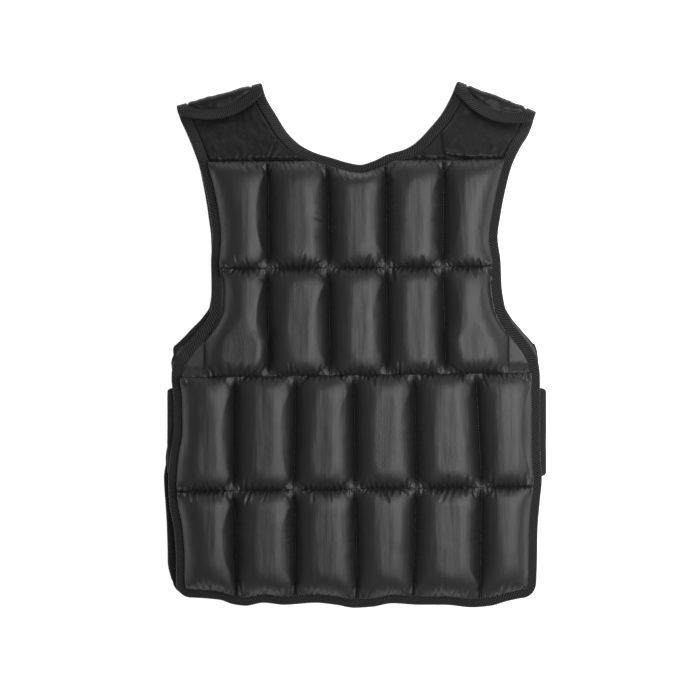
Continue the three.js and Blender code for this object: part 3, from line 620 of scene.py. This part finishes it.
def pocket_row(panel, k, material):
    """One row of filled pockets as a closed piece."""
    x, up, seams, has_ears = row_pattern(panel, k)
    rows, columns = x.shape
    name = panel["name"]
    fine = name == "front"
    source = np.random.default_rng(31 * k + (5 if fine else 6))
    v = np.linspace(0, 1, rows)[:, None]
    held = np.zeros((rows, columns), bool)
    held[[0, -1]] = True
    held[:, seams] = True
    share = np.zeros((rows, columns))
    fullness_x, fullness_up = np.ones((rows, columns)), np.ones((rows, columns))
    pack = {key: np.zeros((rows, columns)) for key in PACK_KEYS}
    pockets = list(zip(seams, seams[1:]))
    middle = slice(int(0.15 * rows), int(0.85 * rows))
    for number, (a, b) in enumerate(pockets):
        here = (slice(None), slice(a, b + 1))
        share[here] = np.linspace(0, 1, b - a + 1)
        if has_ears and number in (0, len(pockets) - 1):
            held[here] = True
            share[here] = 0
            pack["half_width"][here] = pack["half_length"][here] = 1e-3
            pack["top"][here] = SEAM_H
            continue
        left, right = x[middle, a].max(), x[middle, b].min()
        low, high = up[0, a:b + 1].max(), up[-1, a:b + 1].min()
        values = {
            "x": left + (right - left) * (0.5 + PACK_SHIFT_SHARE + source.uniform(-0.015, 0.015)),
            "up": (low + high) / 2 + source.uniform(-1.5, 1.5),
            "half_width": (right - left) / 2 * PACK_WIDTH_SHARE * source.uniform(0.95, 1.06),
            "half_length": (high - low) / 2 - PACK_END_RUN + source.uniform(-1.0, 1.0),
            "top": SEAM_H + PACK_HEIGHT - 0.9 - source.uniform(0.0, 1.6),
            "tilt": source.uniform(-0.9, 0.3),
            "pitch": source.uniform(-0.6, 0.6),
        }
        for key, value in values.items():
            pack[key][here] = value
        mid = rows // 2
        xs, ups = x[mid, a:b + 1], up[:, (a + b) // 2]
        single = {key: np.asarray(value) for key, value in values.items()}
        over_x = pack_top(xs, up[mid, a:b + 1], single)
        over_up = pack_top(x[:, (a + b) // 2], ups, single)
        over_x[[0, -1]] = SEAM_H
        over_up[[0, -1]] = SEAM_H if k == 0 else ROW_SEAM_H, SEAM_H if k == 3 else ROW_SEAM_H
        fullness_x[here] = SLACK * hull_length(xs, over_x) / np.ptp(xs)
        straight = hull_length(ups, over_up) / np.ptp(ups)
        off_seam = swell(share[here])
        fullness_up[here] = 1 + (SLACK * straight - 1) * off_seam + SEAM_FULLNESS * (1 - off_seam)
    start = np.maximum(pack_top(x, up, pack), SEAM_H + 0.75 * PACK_HEIGHT * swell(share) * swell(v))
    seed = 100 * k + (0 if fine else 50)
    from_ends = np.minimum(v, 1 - v) * np.ptp(up, axis=0).mean()
    rough = 0.5 * np.exp(-from_ends / 5) * waves(x, up * 0.3, 7.0, seed) + 0.3 * waves(x, up, 16.0, seed + 1)
    lift = (ROW_SEAM_H - SEAM_H) * np.exp(-(from_ends / 7) ** 2)
    if k == 0:
        lift[:rows // 2] = 0
    if k == 3:
        lift[rows // 2:] *= 0.35
    from_seam = np.min([np.abs(x - x[:, [seam]]) for seam in seams], axis=0)
    rise = SEAM_RISE * np.minimum(np.minimum(from_seam, from_ends), SEAM_RISE_RUN)
    from_edge = np.minimum(np.minimum(x - x[:, [0]], x[:, [-1]] - x), from_ends)
    from_edge[:, seams[1] // 2:(seams[-2] + seams[-1]) // 2] = 0
    rise += EDGE_RISE * np.clip(from_edge - SEAM_RISE_RUN, 0, EDGE_RISE_RUN)
    lowest = np.where(held, 0, SEAM_H + lift + rise)
    h = np.where(held, SEAM_H + lift, np.maximum(start, lowest) + rough)
    at_tape = np.zeros((rows, columns), bool)
    at_tape[:, [0, -1]] = True
    if k == 0:
        at_tape[0] = True
    if k == 3:
        at_tape[-1] = up[-1] < seam_up(3, x[-1]) - 1.0
    h = np.where(at_tape, TUCKED_H, h)
    points = np.stack([x, up, h], -1)
    fullness_x = 1 + (fullness_x - 1) * (1 - END_TAUTNESS * np.exp(-(from_ends / 9) ** 2))
    rest_x = np.diff(x, axis=1) * np.maximum(fullness_x[:, 1:], fullness_x[:, :-1])
    rest_x *= (1 + 0.02 * waves(x, up, 20.0, seed + 2))[:, 1:]
    rest_up = np.diff(up, axis=0) * fullness_up[1:]
    pressure = PRESSURE * GRID_STEP[name] / 1.45 * (1 + 0.5 * waves(x, up, 26.0, seed + 4))
    points = relax(points, held, rest_x, rest_up, pack, pressure, lowest)
    if fine:
        points, x, up = (finer(grid) for grid in (points, x, up))
        seams = [FINER * seam for seam in seams]
        columns = points.shape[1]
        held = finer(held.astype(float)) > 0.999
        soft = (points[:-2, 1:-1] + points[2:, 1:-1] + points[1:-1, :-2] + points[1:-1, 2:]) / 4
        inner = points[1:-1, 1:-1]
        points[1:-1, 1:-1] = np.where(held[1:-1, 1:-1, None], inner, 0.5 * inner + 0.5 * soft)
        across, up_now, height = (points[..., axis] for axis in range(3))
        from_crossing = np.min([np.abs(across - across[:, [seam]]) for seam in seams[1:-1]], axis=0)
        from_row_seam = np.minimum(up_now - up[0] + FAR * (k == 0), up[-1] - up_now + FAR * (k == 3))
        corner = np.exp(-(from_crossing ** 2 + from_row_seam ** 2) / CORNER_REACH ** 2) * ~held
        for _ in range(CORNER_SMOOTHING):
            soft = (height[:-2, 1:-1] + height[2:, 1:-1] + height[1:-1, :-2] + height[1:-1, 2:]) / 4
            height[1:-1, 1:-1] += corner[1:-1, 1:-1] * (soft - height[1:-1, 1:-1])
        sink = gathers(across, up_now - up[0], 811 + k, ROW_GATHERS["low"])
        sink += gathers(across, up[-1] - up_now, 800 + k, ROW_GATHERS["high"])
        sink *= 0.15 + 0.85 * ease(from_crossing / 11)
        for number, seam in enumerate(seams[1:-1]):
            off = across - across[:, [seam]]
            sink += gathers(up_now, off, 820 + 20 * k + number, UPRIGHT_GATHERS["right"])
            sink += gathers(up_now, -off, 840 + 20 * k + number, UPRIGHT_GATHERS["left"])
        loose = np.clip((height - ROW_SEAM_H) / 6, 0, 1)
        ripples = 0.32 * waves(x, up * 0.12, 15.0, seed + 6) + 0.3 * waves(x * 0.7, up * 0.5, 30.0, seed + 7)
        lowest = np.where(height > SEAM_H, BASE_CLOTH / 2 + 0.6, height)
        points[..., 2] = np.maximum(height - sink - loose * ripples, lowest)
    else:
        points[..., 2] = np.minimum(points[..., 2], BACK_Z)
    rim = rim_of(rows, columns)
    lower = points.reshape(-1, 3)[rim]
    lower[:, 2] = BASE_CLOTH / 2 + 0.05
    everything = np.concatenate([points.reshape(-1, 3), lower])
    everything[:, 2] = panel["z"] + panel["outward"] * everything[:, 2]
    facing = panel["outward"] > 0
    faces = quads(rows, columns, flip=not facing)
    floor_face = list(range(rows * columns, rows * columns + len(rim)))
    faces += walls(rim, floor_face, facing)
    faces.append(floor_face[::-1] if facing else floor_face)
    flat = np.stack([x * 1.25, up], -1).reshape(-1, 2)
    uv = np.concatenate([flat, flat[rim]])
    number = len(ROWS) - k
    piece = mesh(f"{name}_quilted_row_{number}", everything, faces, uv)
    creased_along(piece, seams[1:-1], rows, columns)
    laid = everything[:rows * columns].reshape(rows, columns, 3)
    SEWN.extend((laid[:, seam], panel["outward"]) for seam in seams[1:-1])
    return finished(piece, material, "shell_cloth", f"{name}_pocket_row_{number}", fill=0.8)


SEWN = []
STITCH_PITCH = 3.1
STITCH_LENGTH = 2.2
STITCH_RADIUS = 0.32


def creased_along(piece, seams, rows, columns):
    """Keeps the shading sharp where the cloth turns along its seams."""
    edges = np.empty(2 * len(piece.data.edges), int)
    piece.data.edges.foreach_get("vertices", edges)
    a, b = edges.reshape(-1, 2).T
    same = (a % columns == b % columns) & (np.maximum(a, b) < rows * columns) & np.isin(a % columns, seams)
    piece.data.attributes.new("sharp_edge", "BOOLEAN", "EDGE").data.foreach_set("value", same)


def stitches(name, runs, material):
    """Thread that lies along the upright seams, one short raised stitch after another."""
    points, faces, uv = [], [], []
    sides, rings = 6, ((-0.5, 0.35), (-0.36, 0.9), (0.0, 1.0), (0.36, 0.9), (0.5, 0.35))
    for line, outward in runs:
        places = resample(line, int(distances(line)[-1] / STITCH_PITCH) * 2 + 1)
        for n in range(1, len(places) - 1, 2):
            run = places[n + 1] - places[n - 1]
            run /= np.linalg.norm(run)
            side = np.array([run[1], -run[0], 0])
            side /= np.linalg.norm(side)
            rise = np.cross(side, run) * outward
            middle = places[n] + side * 0.55 + np.array([0, 0, outward]) * 1.15
            first = len(points)
            for at, thick in rings:
                for m in range(sides):
                    angle = 2 * math.pi * m / sides
                    out = side * math.cos(angle) + rise * outward * math.sin(angle)
                    points.append(middle + run * at * STITCH_LENGTH + out * thick * STITCH_RADIUS)
                    uv.append((at * STITCH_LENGTH + n, m))
            faces += quads(len(rings), sides, first, wrap=True)
            last = first + (len(rings) - 1) * sides
            faces += [[first + m for m in range(sides)][::-1], [last + m for m in range(sides)]]
    return finished(mesh(name, points, faces, np.array(uv)), material, "shell_cloth")


# ---- Straps, yokes and linings ----
STRAP_COLUMNS = 100


def flap_end(side, across, trim):
    """How far a flap runs past the fold, trimmed along its rounded end."""
    width = FOLDS[side]["width"]
    share = np.clip(across / width, 0, 1)
    slope = 4 * (FLAP_LENGTH - FLAP_CORNER_LENGTH) * (1 - 2 * share) / width
    full = FLAP_CORNER_LENGTH + (FLAP_LENGTH - FLAP_CORNER_LENGTH) * (1 - (2 * share - 1) ** 2)
    return full - trim * np.hypot(1, slope)


def strap_pattern(panel, side, inset):
    """A shoulder's flat grid from the yoke seam to its end."""
    outer, inner = strap_edges(panel, side, inset, STRAP_COLUMNS)
    share = np.linspace(0, 1, STRAP_COLUMNS)[None, :, None]
    flat = outer[:, None] * (1 - share) + inner[:, None] * share
    if panel["folds"]:
        fold = FOLDS[side]
        last = flat[-1]
        across = (last - fold["start"]) @ fold["across"]
        reach = FOLD_LENGTH + flap_end(side, across, inset)
        steps = np.linspace(0, 1, 46)[1:]
        flat = np.concatenate([flat, last + steps[:, None, None] * reach[:, None] * fold["away"]])
    return flat


YOKE_SLOPE = 3.0
YOKE_SLOPE_RUN = 22.0
# Short seams, tucks and ridges on the front shoulders: both ends in the pattern, then depth and width.
YOKE_MARKS = {
    "left": [((-87.0, 444.0), (-77.5, 468.0), 1.9, 1.0), ((-84.0, 446.0), (-73.5, 468.0), -0.9, 2.2)],
    "right": [((88.0, 445.0), (85.5, 474.0), 1.9, 1.0), ((89.0, 451.0), (108.0, 446.5), 2.0, 1.1),
              ((91.0, 455.0), (114.0, 450.0), -1.3, 2.6)],
}


def from_line(x, up, a, b):
    """Distance from the straight run between two points."""
    run = np.array(b) - a
    t = np.clip(((x - a[0]) * run[0] + (up - a[1]) * run[1]) / (run @ run), 0, 1)
    return np.hypot(x - a[0] - t * run[0], up - a[1] - t * run[1])


def yoke(panel, side, material, nodes):
    """A shoulder's plain cloth: a thin soft sheet with creases, tucked under its tapes."""
    flat = strap_pattern(panel, side, TAPE_WIDTH - TUCK)
    x, up = flat[..., 0], flat[..., 1]
    width = np.linalg.norm(flat[:, -1] - flat[:, 0], axis=-1)[:, None]
    s = np.linspace(0, 1, flat.shape[1])[None]
    from_side = np.minimum(s, 1 - s) * width
    from_start = up - seam_up(3, x)
    from_end = np.linalg.norm(flat[-1] - flat, axis=-1) if panel["folds"] else FAR
    edge = np.minimum(from_side, from_end)
    rise = ease((edge - TUCK) / 4.0)
    seed = 500 + (1 if side == "left" else 2) + (10 if panel["folds"] else 0)
    creases = 1.0 * waves(x, up, 30.0, seed) + 0.45 * waves(x, up * 0.6, 13.0, seed + 5)
    gathered = 0.8 * np.exp(-from_start / 6) * waves(x, up * 0.25, 7.0, seed + 9)
    sunk = gathers(x, from_start, seed + 20, YOKE_GATHERS)
    if not panel["folds"]:
        creases = 1.6 * creases + YOKE_SLOPE * np.exp(-from_start / YOKE_SLOPE_RUN) * ease(from_start / 5)
        for a, b, depth, wide in YOKE_MARKS[side]:
            sunk += depth * np.exp(-(from_line(x, up, a, b) / wide) ** 2)
    outer_h = TUCKED_H + (YOKE_CLOTH * 0.62 + creases + gathered - sunk) * rise
    outer_h = np.where(from_start < 0.8, np.minimum(outer_h, SEAM_H), outer_h)
    outward = panel["outward"]
    upper = lay(panel, x, up, outward * np.maximum(outer_h, TUCKED_H))
    lower = lay(panel, x, up, -outward * BASE_CLOTH / 2)
    facing = (outward > 0) == (side == "left")
    piece = closed_grid(f"{panel['name']}_yoke_{side}_cloth", upper, lower, flat, facing_up=facing)
    return finished(piece, material, "shell_cloth", *nodes, fill=0.15)


def lining(panel, material, nodes):
    """The body's base cloth, from the hem to the yoke seam."""
    inset = TAPE_THICKNESS + 0.6
    edges = {side: inset_side(panel, side, inset) for side in ("left", "right")}
    neck_in = inset_neck(inset)
    v = np.linspace(0, 1, 150)[:, None]
    s = np.linspace(0, 1, 120)[None]
    rough_up = v * SEAM_LINES[3][0] * VEST_LENGTH
    x = edges["left"](rough_up) * (1 - s) + edges["right"](rough_up) * s
    low = hem_inside(panel, x, inset)
    high = np.minimum(seam_up(3, x) + 1, neck_in(x))
    up = low + (high - low) * v
    pucker = 0.35 * waves(x, up, 18.0, 900) - 0.2
    flat = np.stack([x, up], -1)
    upper = lay(panel, x, up, BASE_CLOTH / 2 + (0 if panel["outward"] > 0 else pucker))
    lower = lay(panel, x, up, -BASE_CLOTH / 2 + (pucker if panel["outward"] > 0 else 0))
    piece = closed_grid(f"{panel['name']}_lining", upper, lower, flat)
    return finished(piece, material, "shell_cloth", *nodes, fill=0.1)


# ---- Woven tape ----
TAPE_STEP = 1.3
TAPE_LEGS = 6


def tape_section():
    """The folded tape's section, round the outside and back inside: distance in from the edge, and height."""
    w, t, reach, inner = TAPE_WIDTH, TAPE_THICKNESS, TAPE_REACH, SHEET_REACH
    bevel, turn = 0.25, t + 0.6
    top = [(d, reach) for d in np.linspace(w - bevel, turn, TAPE_LEGS)]
    angle = np.linspace(math.pi / 2, -math.pi / 2, 7)
    turned = [(turn * (1 - math.cos(a)), reach * math.sin(a)) for a in angle[1:-1]]
    bottom = [(d, -reach) for d in np.linspace(turn, w - bevel, TAPE_LEGS)]
    deep = t + 0.5
    inside = [(w, bevel - reach), (w, -inner), (deep, -inner), (deep, inner), (w, inner), (w, reach - bevel)]
    return np.array(top + turned + bottom + inside)


def tape(name, line, panel, material, nodes, seed, lift=0.0):
    """A tape folded over an edge line that has the cloth to its left."""
    line = resample(line, int(round(distances(line)[-1] / TAPE_STEP)) + 1)
    inward = leftward(line)
    section = tape_section()
    along = distances(line)[:, None]
    d, h = section[:, 0][None], section[:, 1][None]
    inner_share = np.clip(d / TAPE_WIDTH, 0, 1)
    d = d + inner_share * 0.35 * waves(along, 0 * along, 17.0, seed)
    ripple = 0.22 * waves(along, d * 0.5, 5.5, seed + 1) + 0.3 * waves(along, d, 26.0, seed + 2)
    outside = np.abs(h) > SHEET_REACH + 0.1
    h = h + np.where(outside, np.sign(h) * (np.maximum(ripple * inner_share, -0.15) + lift), 0)
    x = line[:, 0][:, None] + inward[:, 0][:, None] * d
    up = line[:, 1][:, None] + inward[:, 1][:, None] * d
    rows, columns = x.shape
    points = lay(panel, x, up, h).reshape(-1, 3)
    faces = quads(rows, columns, wrap=True)
    faces.append(list(range(columns))[::-1])
    faces.append([(rows - 1) * columns + i for i in range(columns)])
    uv = np.stack(np.broadcast_arrays(along, distances(section)[None]), -1)
    piece = mesh(name, points, faces, uv.reshape(-1, 2))
    return finished(piece, material, "edge_tape", *nodes)


def flap_line(side):
    strap = strap_edges(BACK, side)
    share = np.linspace(0, 1, 60)[:, None]
    last = strap[0][-1] * (1 - share) + strap[1][-1] * share
    fold = FOLDS[side]
    across = (last - fold["start"]) @ fold["across"]
    line = last + (FOLD_LENGTH + flap_end(side, across, 0))[:, None] * fold["away"]
    return line[::-1] if side == "left" else line


# ---- Elastic hip bands ----
def hip_band(side, material, nodes):
    """An elastic band folded double, its fold standing out past the hip."""
    sign = SIGN[side]
    ups = np.linspace(BAND_BOTTOM, BAND_BOTTOM + BAND_HEIGHT, 60)
    bottom = BACK_Z + TAPE_REACH + FIT_GAP
    top = FRONT_Z - TAPE_REACH - FIT_GAP
    radius, middle = (top - bottom) / 2, (top + bottom) / 2
    end = np.abs(EDGE[side](ups)).min() - BAND_TUCK
    from_ends = np.minimum(ups - ups[0], ups[-1] - ups)
    corner = 4.0
    cut = corner - np.sqrt(corner ** 2 - np.maximum(corner - from_ends, 0) ** 2)
    angle = np.linspace(-math.pi / 2, math.pi / 2, 15)
    rows = []
    for up, back in zip(ups, cut):
        turn = BAND_REACH[side] - radius - back
        outer, inner = ([(turn + r * math.cos(a), middle + r * math.sin(a)) for a in angle]
                        for r in (radius, radius - BAND_THICKNESS))
        outer = [(end, bottom), *outer, (end, top)]
        inner = [(end, top - BAND_THICKNESS), *inner[::-1], (end, bottom + BAND_THICKNESS)]
        rows.append([(sign * a, up, z) for a, z in outer + inner])
    points = np.array(rows)
    count = points.shape[1]
    shown = np.abs(points[..., 0]) > end + 1
    points[..., 0] += 0.25 * waves(points[..., 1], points[..., 2], 30.0, 77) * shown
    facing = sign < 0
    faces = quads(len(rows), count, wrap=True, flip=not facing)
    first, last = list(range(count)), [(len(rows) - 1) * count + i for i in range(count)]
    faces += [first[::-1], last] if facing else [first, last[::-1]]
    uv = np.stack([points[..., 0] * sign, points[..., 1]], -1).reshape(-1, 2)
    piece = mesh(f"hip_elastic_{side}", points.reshape(-1, 3), faces, uv)
    return finished(piece, material, "elastic_band", *nodes)


# ---- Materials ----
def material(name, build):
    made = bpy.data.materials.new(name)
    made.use_nodes = True
    tree = made.node_tree
    tree.nodes.clear()
    out = tree.nodes.new("ShaderNodeOutputMaterial")
    shader = tree.nodes.new("ShaderNodeBsdfPrincipled")
    tree.links.new(shader.outputs["BSDF"], out.inputs["Surface"])
    build(tree, shader)
    return made


def socket(value, tree, target):
    if hasattr(value, "is_output"):
        tree.links.new(value, target)
    else:
        target.default_value = value


def added(tree, kind, inputs, output=0):
    """One output of a new node, after its inputs are linked or set."""
    node = tree.nodes.new("ShaderNode" + kind)
    for name, value in inputs.items():
        socket(value, tree, node.inputs[name])
    return node.outputs[output]


def maths(tree, operation, a, b=0.0, c=0.0):
    node = tree.nodes.new("ShaderNodeMath")
    node.operation = operation
    for value, target in zip((a, b, c), node.inputs):
        socket(value, tree, target)
    return node.outputs[0]


def flat_axes(tree, pitch, turn=0.0):
    """The flat map's two directions as phases, one turn of a sine per pitch in metres."""
    uv = tree.nodes.new("ShaderNodeUVMap")
    uv.uv_map = "flat"
    place = added(tree, "Mapping", {"Vector": uv.outputs[0], "Rotation": (0, 0, turn)})
    axes = [added(tree, "SeparateXYZ", {"Vector": place}, k) for k in range(2)]
    return place, [maths(tree, "MULTIPLY", axis, 2 * math.pi / pitch) for axis in axes]


def noise(tree, vector, scale, detail=3.0, roughness=0.55):
    inputs = {"Vector": vector, "Scale": scale, "Detail": detail, "Roughness": roughness}
    return added(tree, "TexNoise", inputs, "Fac")


def ramp(tree, value, low, high):
    """Maps a value from 0 to 1 onto a range."""
    return added(tree, "MapRange", {"Value": value, "To Min": low, "To Max": high}, "Result")


def bump(tree, height, distance, strength=1.0, after=None):
    inputs = {"Distance": distance, "Strength": strength, "Height": height}
    if after is not None:
        inputs["Normal"] = after
    return added(tree, "Bump", inputs, "Normal")


def tinted(tree, value, low, high):
    """A dark colour between two, by a value from 0 to 1."""
    node = tree.nodes.new("ShaderNodeMix")
    node.data_type = "RGBA"
    tree.links.new(value, node.inputs["Factor"])
    node.inputs["A"].default_value = (*low, 1)
    node.inputs["B"].default_value = (*high, 1)
    return node.outputs["Result"]


WEAVE_PITCH = 0.0006
TWILL_PITCH = 0.0022
ELASTIC_PITCH = 0.0011
THREAD_PITCH = 0.0007


def shell_look(tree, shader, shine=0.55):
    """Fine plain weave of filament yarn, with a soft satin shine and faint drawn threads."""
    place, (warp, weft) = flat_axes(tree, WEAVE_PITCH)
    up_down, side_ways = maths(tree, "SINE", warp), maths(tree, "SINE", weft)
    over = maths(tree, "MULTIPLY", up_down, side_ways)
    cloud = noise(tree, place, 28.0, 4.0, 0.6)
    drawn = added(tree, "Mapping", {"Vector": place, "Scale": (1.0, 0.05, 1.0)})
    threads = noise(tree, drawn, 420.0, 3.0, 0.6)
    crush = noise(tree, place, 60.0, 5.0, 0.6)
    tree.links.new(tinted(tree, cloud, (0.0075, 0.0076, 0.0080), (0.0125, 0.0126, 0.0132)),
              shader.inputs["Base Color"])
    tree.links.new(ramp(tree, crush, 0.37, 0.48), shader.inputs["Roughness"])
    grain = noise(tree, place, 1100.0, 2.0, 0.7)
    creased = bump(tree, grain, 0.00016, 0.6, bump(tree, crush, 0.0006, 0.35))
    pulled = bump(tree, threads, 0.00030, 0.6, creased)
    tree.links.new(bump(tree, over, 0.00004, 0.5, pulled), shader.inputs["Normal"])
    shader.inputs["Specular IOR Level"].default_value = shine
    shader.inputs["Sheen Weight"].default_value = 0.05
    shader.inputs["Sheen Roughness"].default_value = 0.4


def twill_look(tree, shader):
    """Matt tape with slanting rib relief, its colour darker in each groove and lighter on each crest: painted
    shade and highlight.
    """
    place, (_, rib) = flat_axes(tree, TWILL_PITCH, math.radians(58))
    half = maths(tree, "MULTIPLY", rib, 0.5)
    ribs_and_painted_shade = maths(tree, "ABSOLUTE", maths(tree, "SINE", half))
    wear = noise(tree, place, 160.0, 4.0)
    # The colour follows the rib profile: painted shade in the grooves and painted highlight on the crests.
    tree.links.new(tinted(tree, ribs_and_painted_shade, (0.0010, 0.0010, 0.0011), (0.0165, 0.0165, 0.0170)),
              shader.inputs["Base Color"])
    tree.links.new(ramp(tree, wear, 0.50, 0.72), shader.inputs["Roughness"])
    coarse = bump(tree, wear, 0.0003, 0.4)
    tree.links.new(bump(tree, ribs_and_painted_shade, 0.0009, 1.0, coarse), shader.inputs["Normal"])
    shader.inputs["Specular IOR Level"].default_value = 0.4
    shader.inputs["Sheen Weight"].default_value = 0.05


def elastic_look(tree, shader):
    """Smooth elastic with fine cords along the body."""
    place, (_, along) = flat_axes(tree, ELASTIC_PITCH)
    cords = maths(tree, "SINE", along)
    dust = noise(tree, place, 120.0, 3.0)
    tree.links.new(tinted(tree, dust, (0.0040, 0.0040, 0.0044), (0.0075, 0.0075, 0.0080)),
              shader.inputs["Base Color"])
    tree.links.new(ramp(tree, dust, 0.7, 0.85), shader.inputs["Roughness"])
    tree.links.new(bump(tree, cords, 0.00012, 0.6), shader.inputs["Normal"])


def floor_look(tree, shader):
    shader.inputs["Base Color"].default_value = (0.86, 0.86, 0.86, 1)
    shader.inputs["Roughness"].default_value = 0.8
    shader.inputs["Specular IOR Level"].default_value = 0.1
    shader.inputs["Emission Color"].default_value = (1, 1, 1, 1)
    shader.inputs["Emission Strength"].default_value = 0.85


def thread_look(tree, shader):
    """Dark sewing thread whose colour lightens once per thread pitch along it: a painted highlight on each
    twisted turn.
    """
    _, (along, _) = flat_axes(tree, THREAD_PITCH)
    painted_twist_highlight = maths(tree, "ABSOLUTE", maths(tree, "SINE", along))
    # Painted highlight: the thread's colour lightens along it once per pitch.
    tree.links.new(tinted(tree, painted_twist_highlight, (0.030, 0.030, 0.031), (0.090, 0.090, 0.092)),
              shader.inputs["Base Color"])
    shader.inputs["Roughness"].default_value = 0.5


shell = material("satin shell", shell_look)
# The yokes' cloth is the shell cloth with its shine cut to 0.24, a darker copy that paints shade onto the
# yokes.
shoulder = material("shoulder cloth", lambda *parts: shell_look(*parts, shine=0.24))
thread = material("sewing thread", thread_look)
twill = material("twill tape", twill_look)
elastic = material("hip elastic", elastic_look)

# ---- The vest ----
for panel in (BACK, FRONT):
    name = panel["name"]
    for k in range(len(ROWS)):
        pocket_row(panel, k, shell)
    lining(panel, shell, [f"{name}_base_cloth"])
    for side in ("left", "right"):
        # The yokes take the darker copy of the shell cloth: painted shade.
        yoke(panel, side, shoulder, [f"{name}_yoke_{side}"])
    tape(f"{name}_edge_binding", panel_outline(panel), panel, twill, [f"{name}_edge_tape"], 40 + len(name))
    tape(f"{name}_neck_binding", neck_outline(panel), panel, twill, [f"{name}_neck_tape"], 60 + len(name))
for side in ("left", "right"):
    tape(f"flap_binding_{side}", flap_line(side), BACK, twill, [f"shoulder_flap_tape_{side}"], 80 + len(side),
         lift=0.3)
    hip_band(side, elastic, [f"hip_band_{side}"])
stitches("seam_stitches", SEWN, thread)

# ---- Floor, light and camera ----
VIEW_WIDTH = 0.7
VIEW_CENTRE = ((-5.0 + SHIFT[0]) / 1000, (257.0 + SHIFT[1]) / 1000)
CAMERA_HEIGHT = 2.6
FOCUS_HEIGHT = 0.022
FLOOR_HALF = 4000.0
FLOOR_H = -0.2
WORLD_LIGHT = 0.30

corners = [(x * FLOOR_HALF, y * FLOOR_HALF, FLOOR_H) for x, y in ((-1, -1), (1, -1), (1, 1), (-1, 1))]
floor_piece = mesh("floor", corners, [(0, 1, 2, 3)])
floor_piece.data.materials.append(material("pale floor", floor_look))


def area_light(name, place, size, power, tilt=(0.0, 0.0, 0.0)):
    """A soft box that hangs face down, tilted by the angles, out of the camera's sight."""
    data = bpy.data.lights.new(name, "AREA")
    data.shape = "RECTANGLE"
    data.size, data.size_y = size
    data.energy = power
    lamp = bpy.data.objects.new(name, data)
    lamp.location = place
    lamp.rotation_euler = tilt
    lamp.visible_camera = False
    bpy.context.collection.objects.link(lamp)


area_light("key", (0.61, 0.05, 1.0), (0.98, 0.80), 13.2)
area_light("top", (0.25, 1.35, 0.42), (1.3, 0.5), 1.8, (-math.radians(73), 0, 0))

world = bpy.data.worlds.new("studio")
world.use_nodes = True
world.node_tree.nodes["Background"].inputs["Color"].default_value = (1, 1, 1, 1)
world.node_tree.nodes["Background"].inputs["Strength"].default_value = WORLD_LIGHT
bpy.context.scene.world = world

camera_data = bpy.data.cameras.new("camera")
camera_data.sensor_width = 36
camera_data.lens = 36 * (CAMERA_HEIGHT - FOCUS_HEIGHT) / VIEW_WIDTH
camera = bpy.data.objects.new("camera", camera_data)
camera.location = (*VIEW_CENTRE, CAMERA_HEIGHT)
bpy.context.collection.objects.link(camera)
bpy.context.scene.camera = camera
bpy.context.scene.view_settings.view_transform = "Standard"
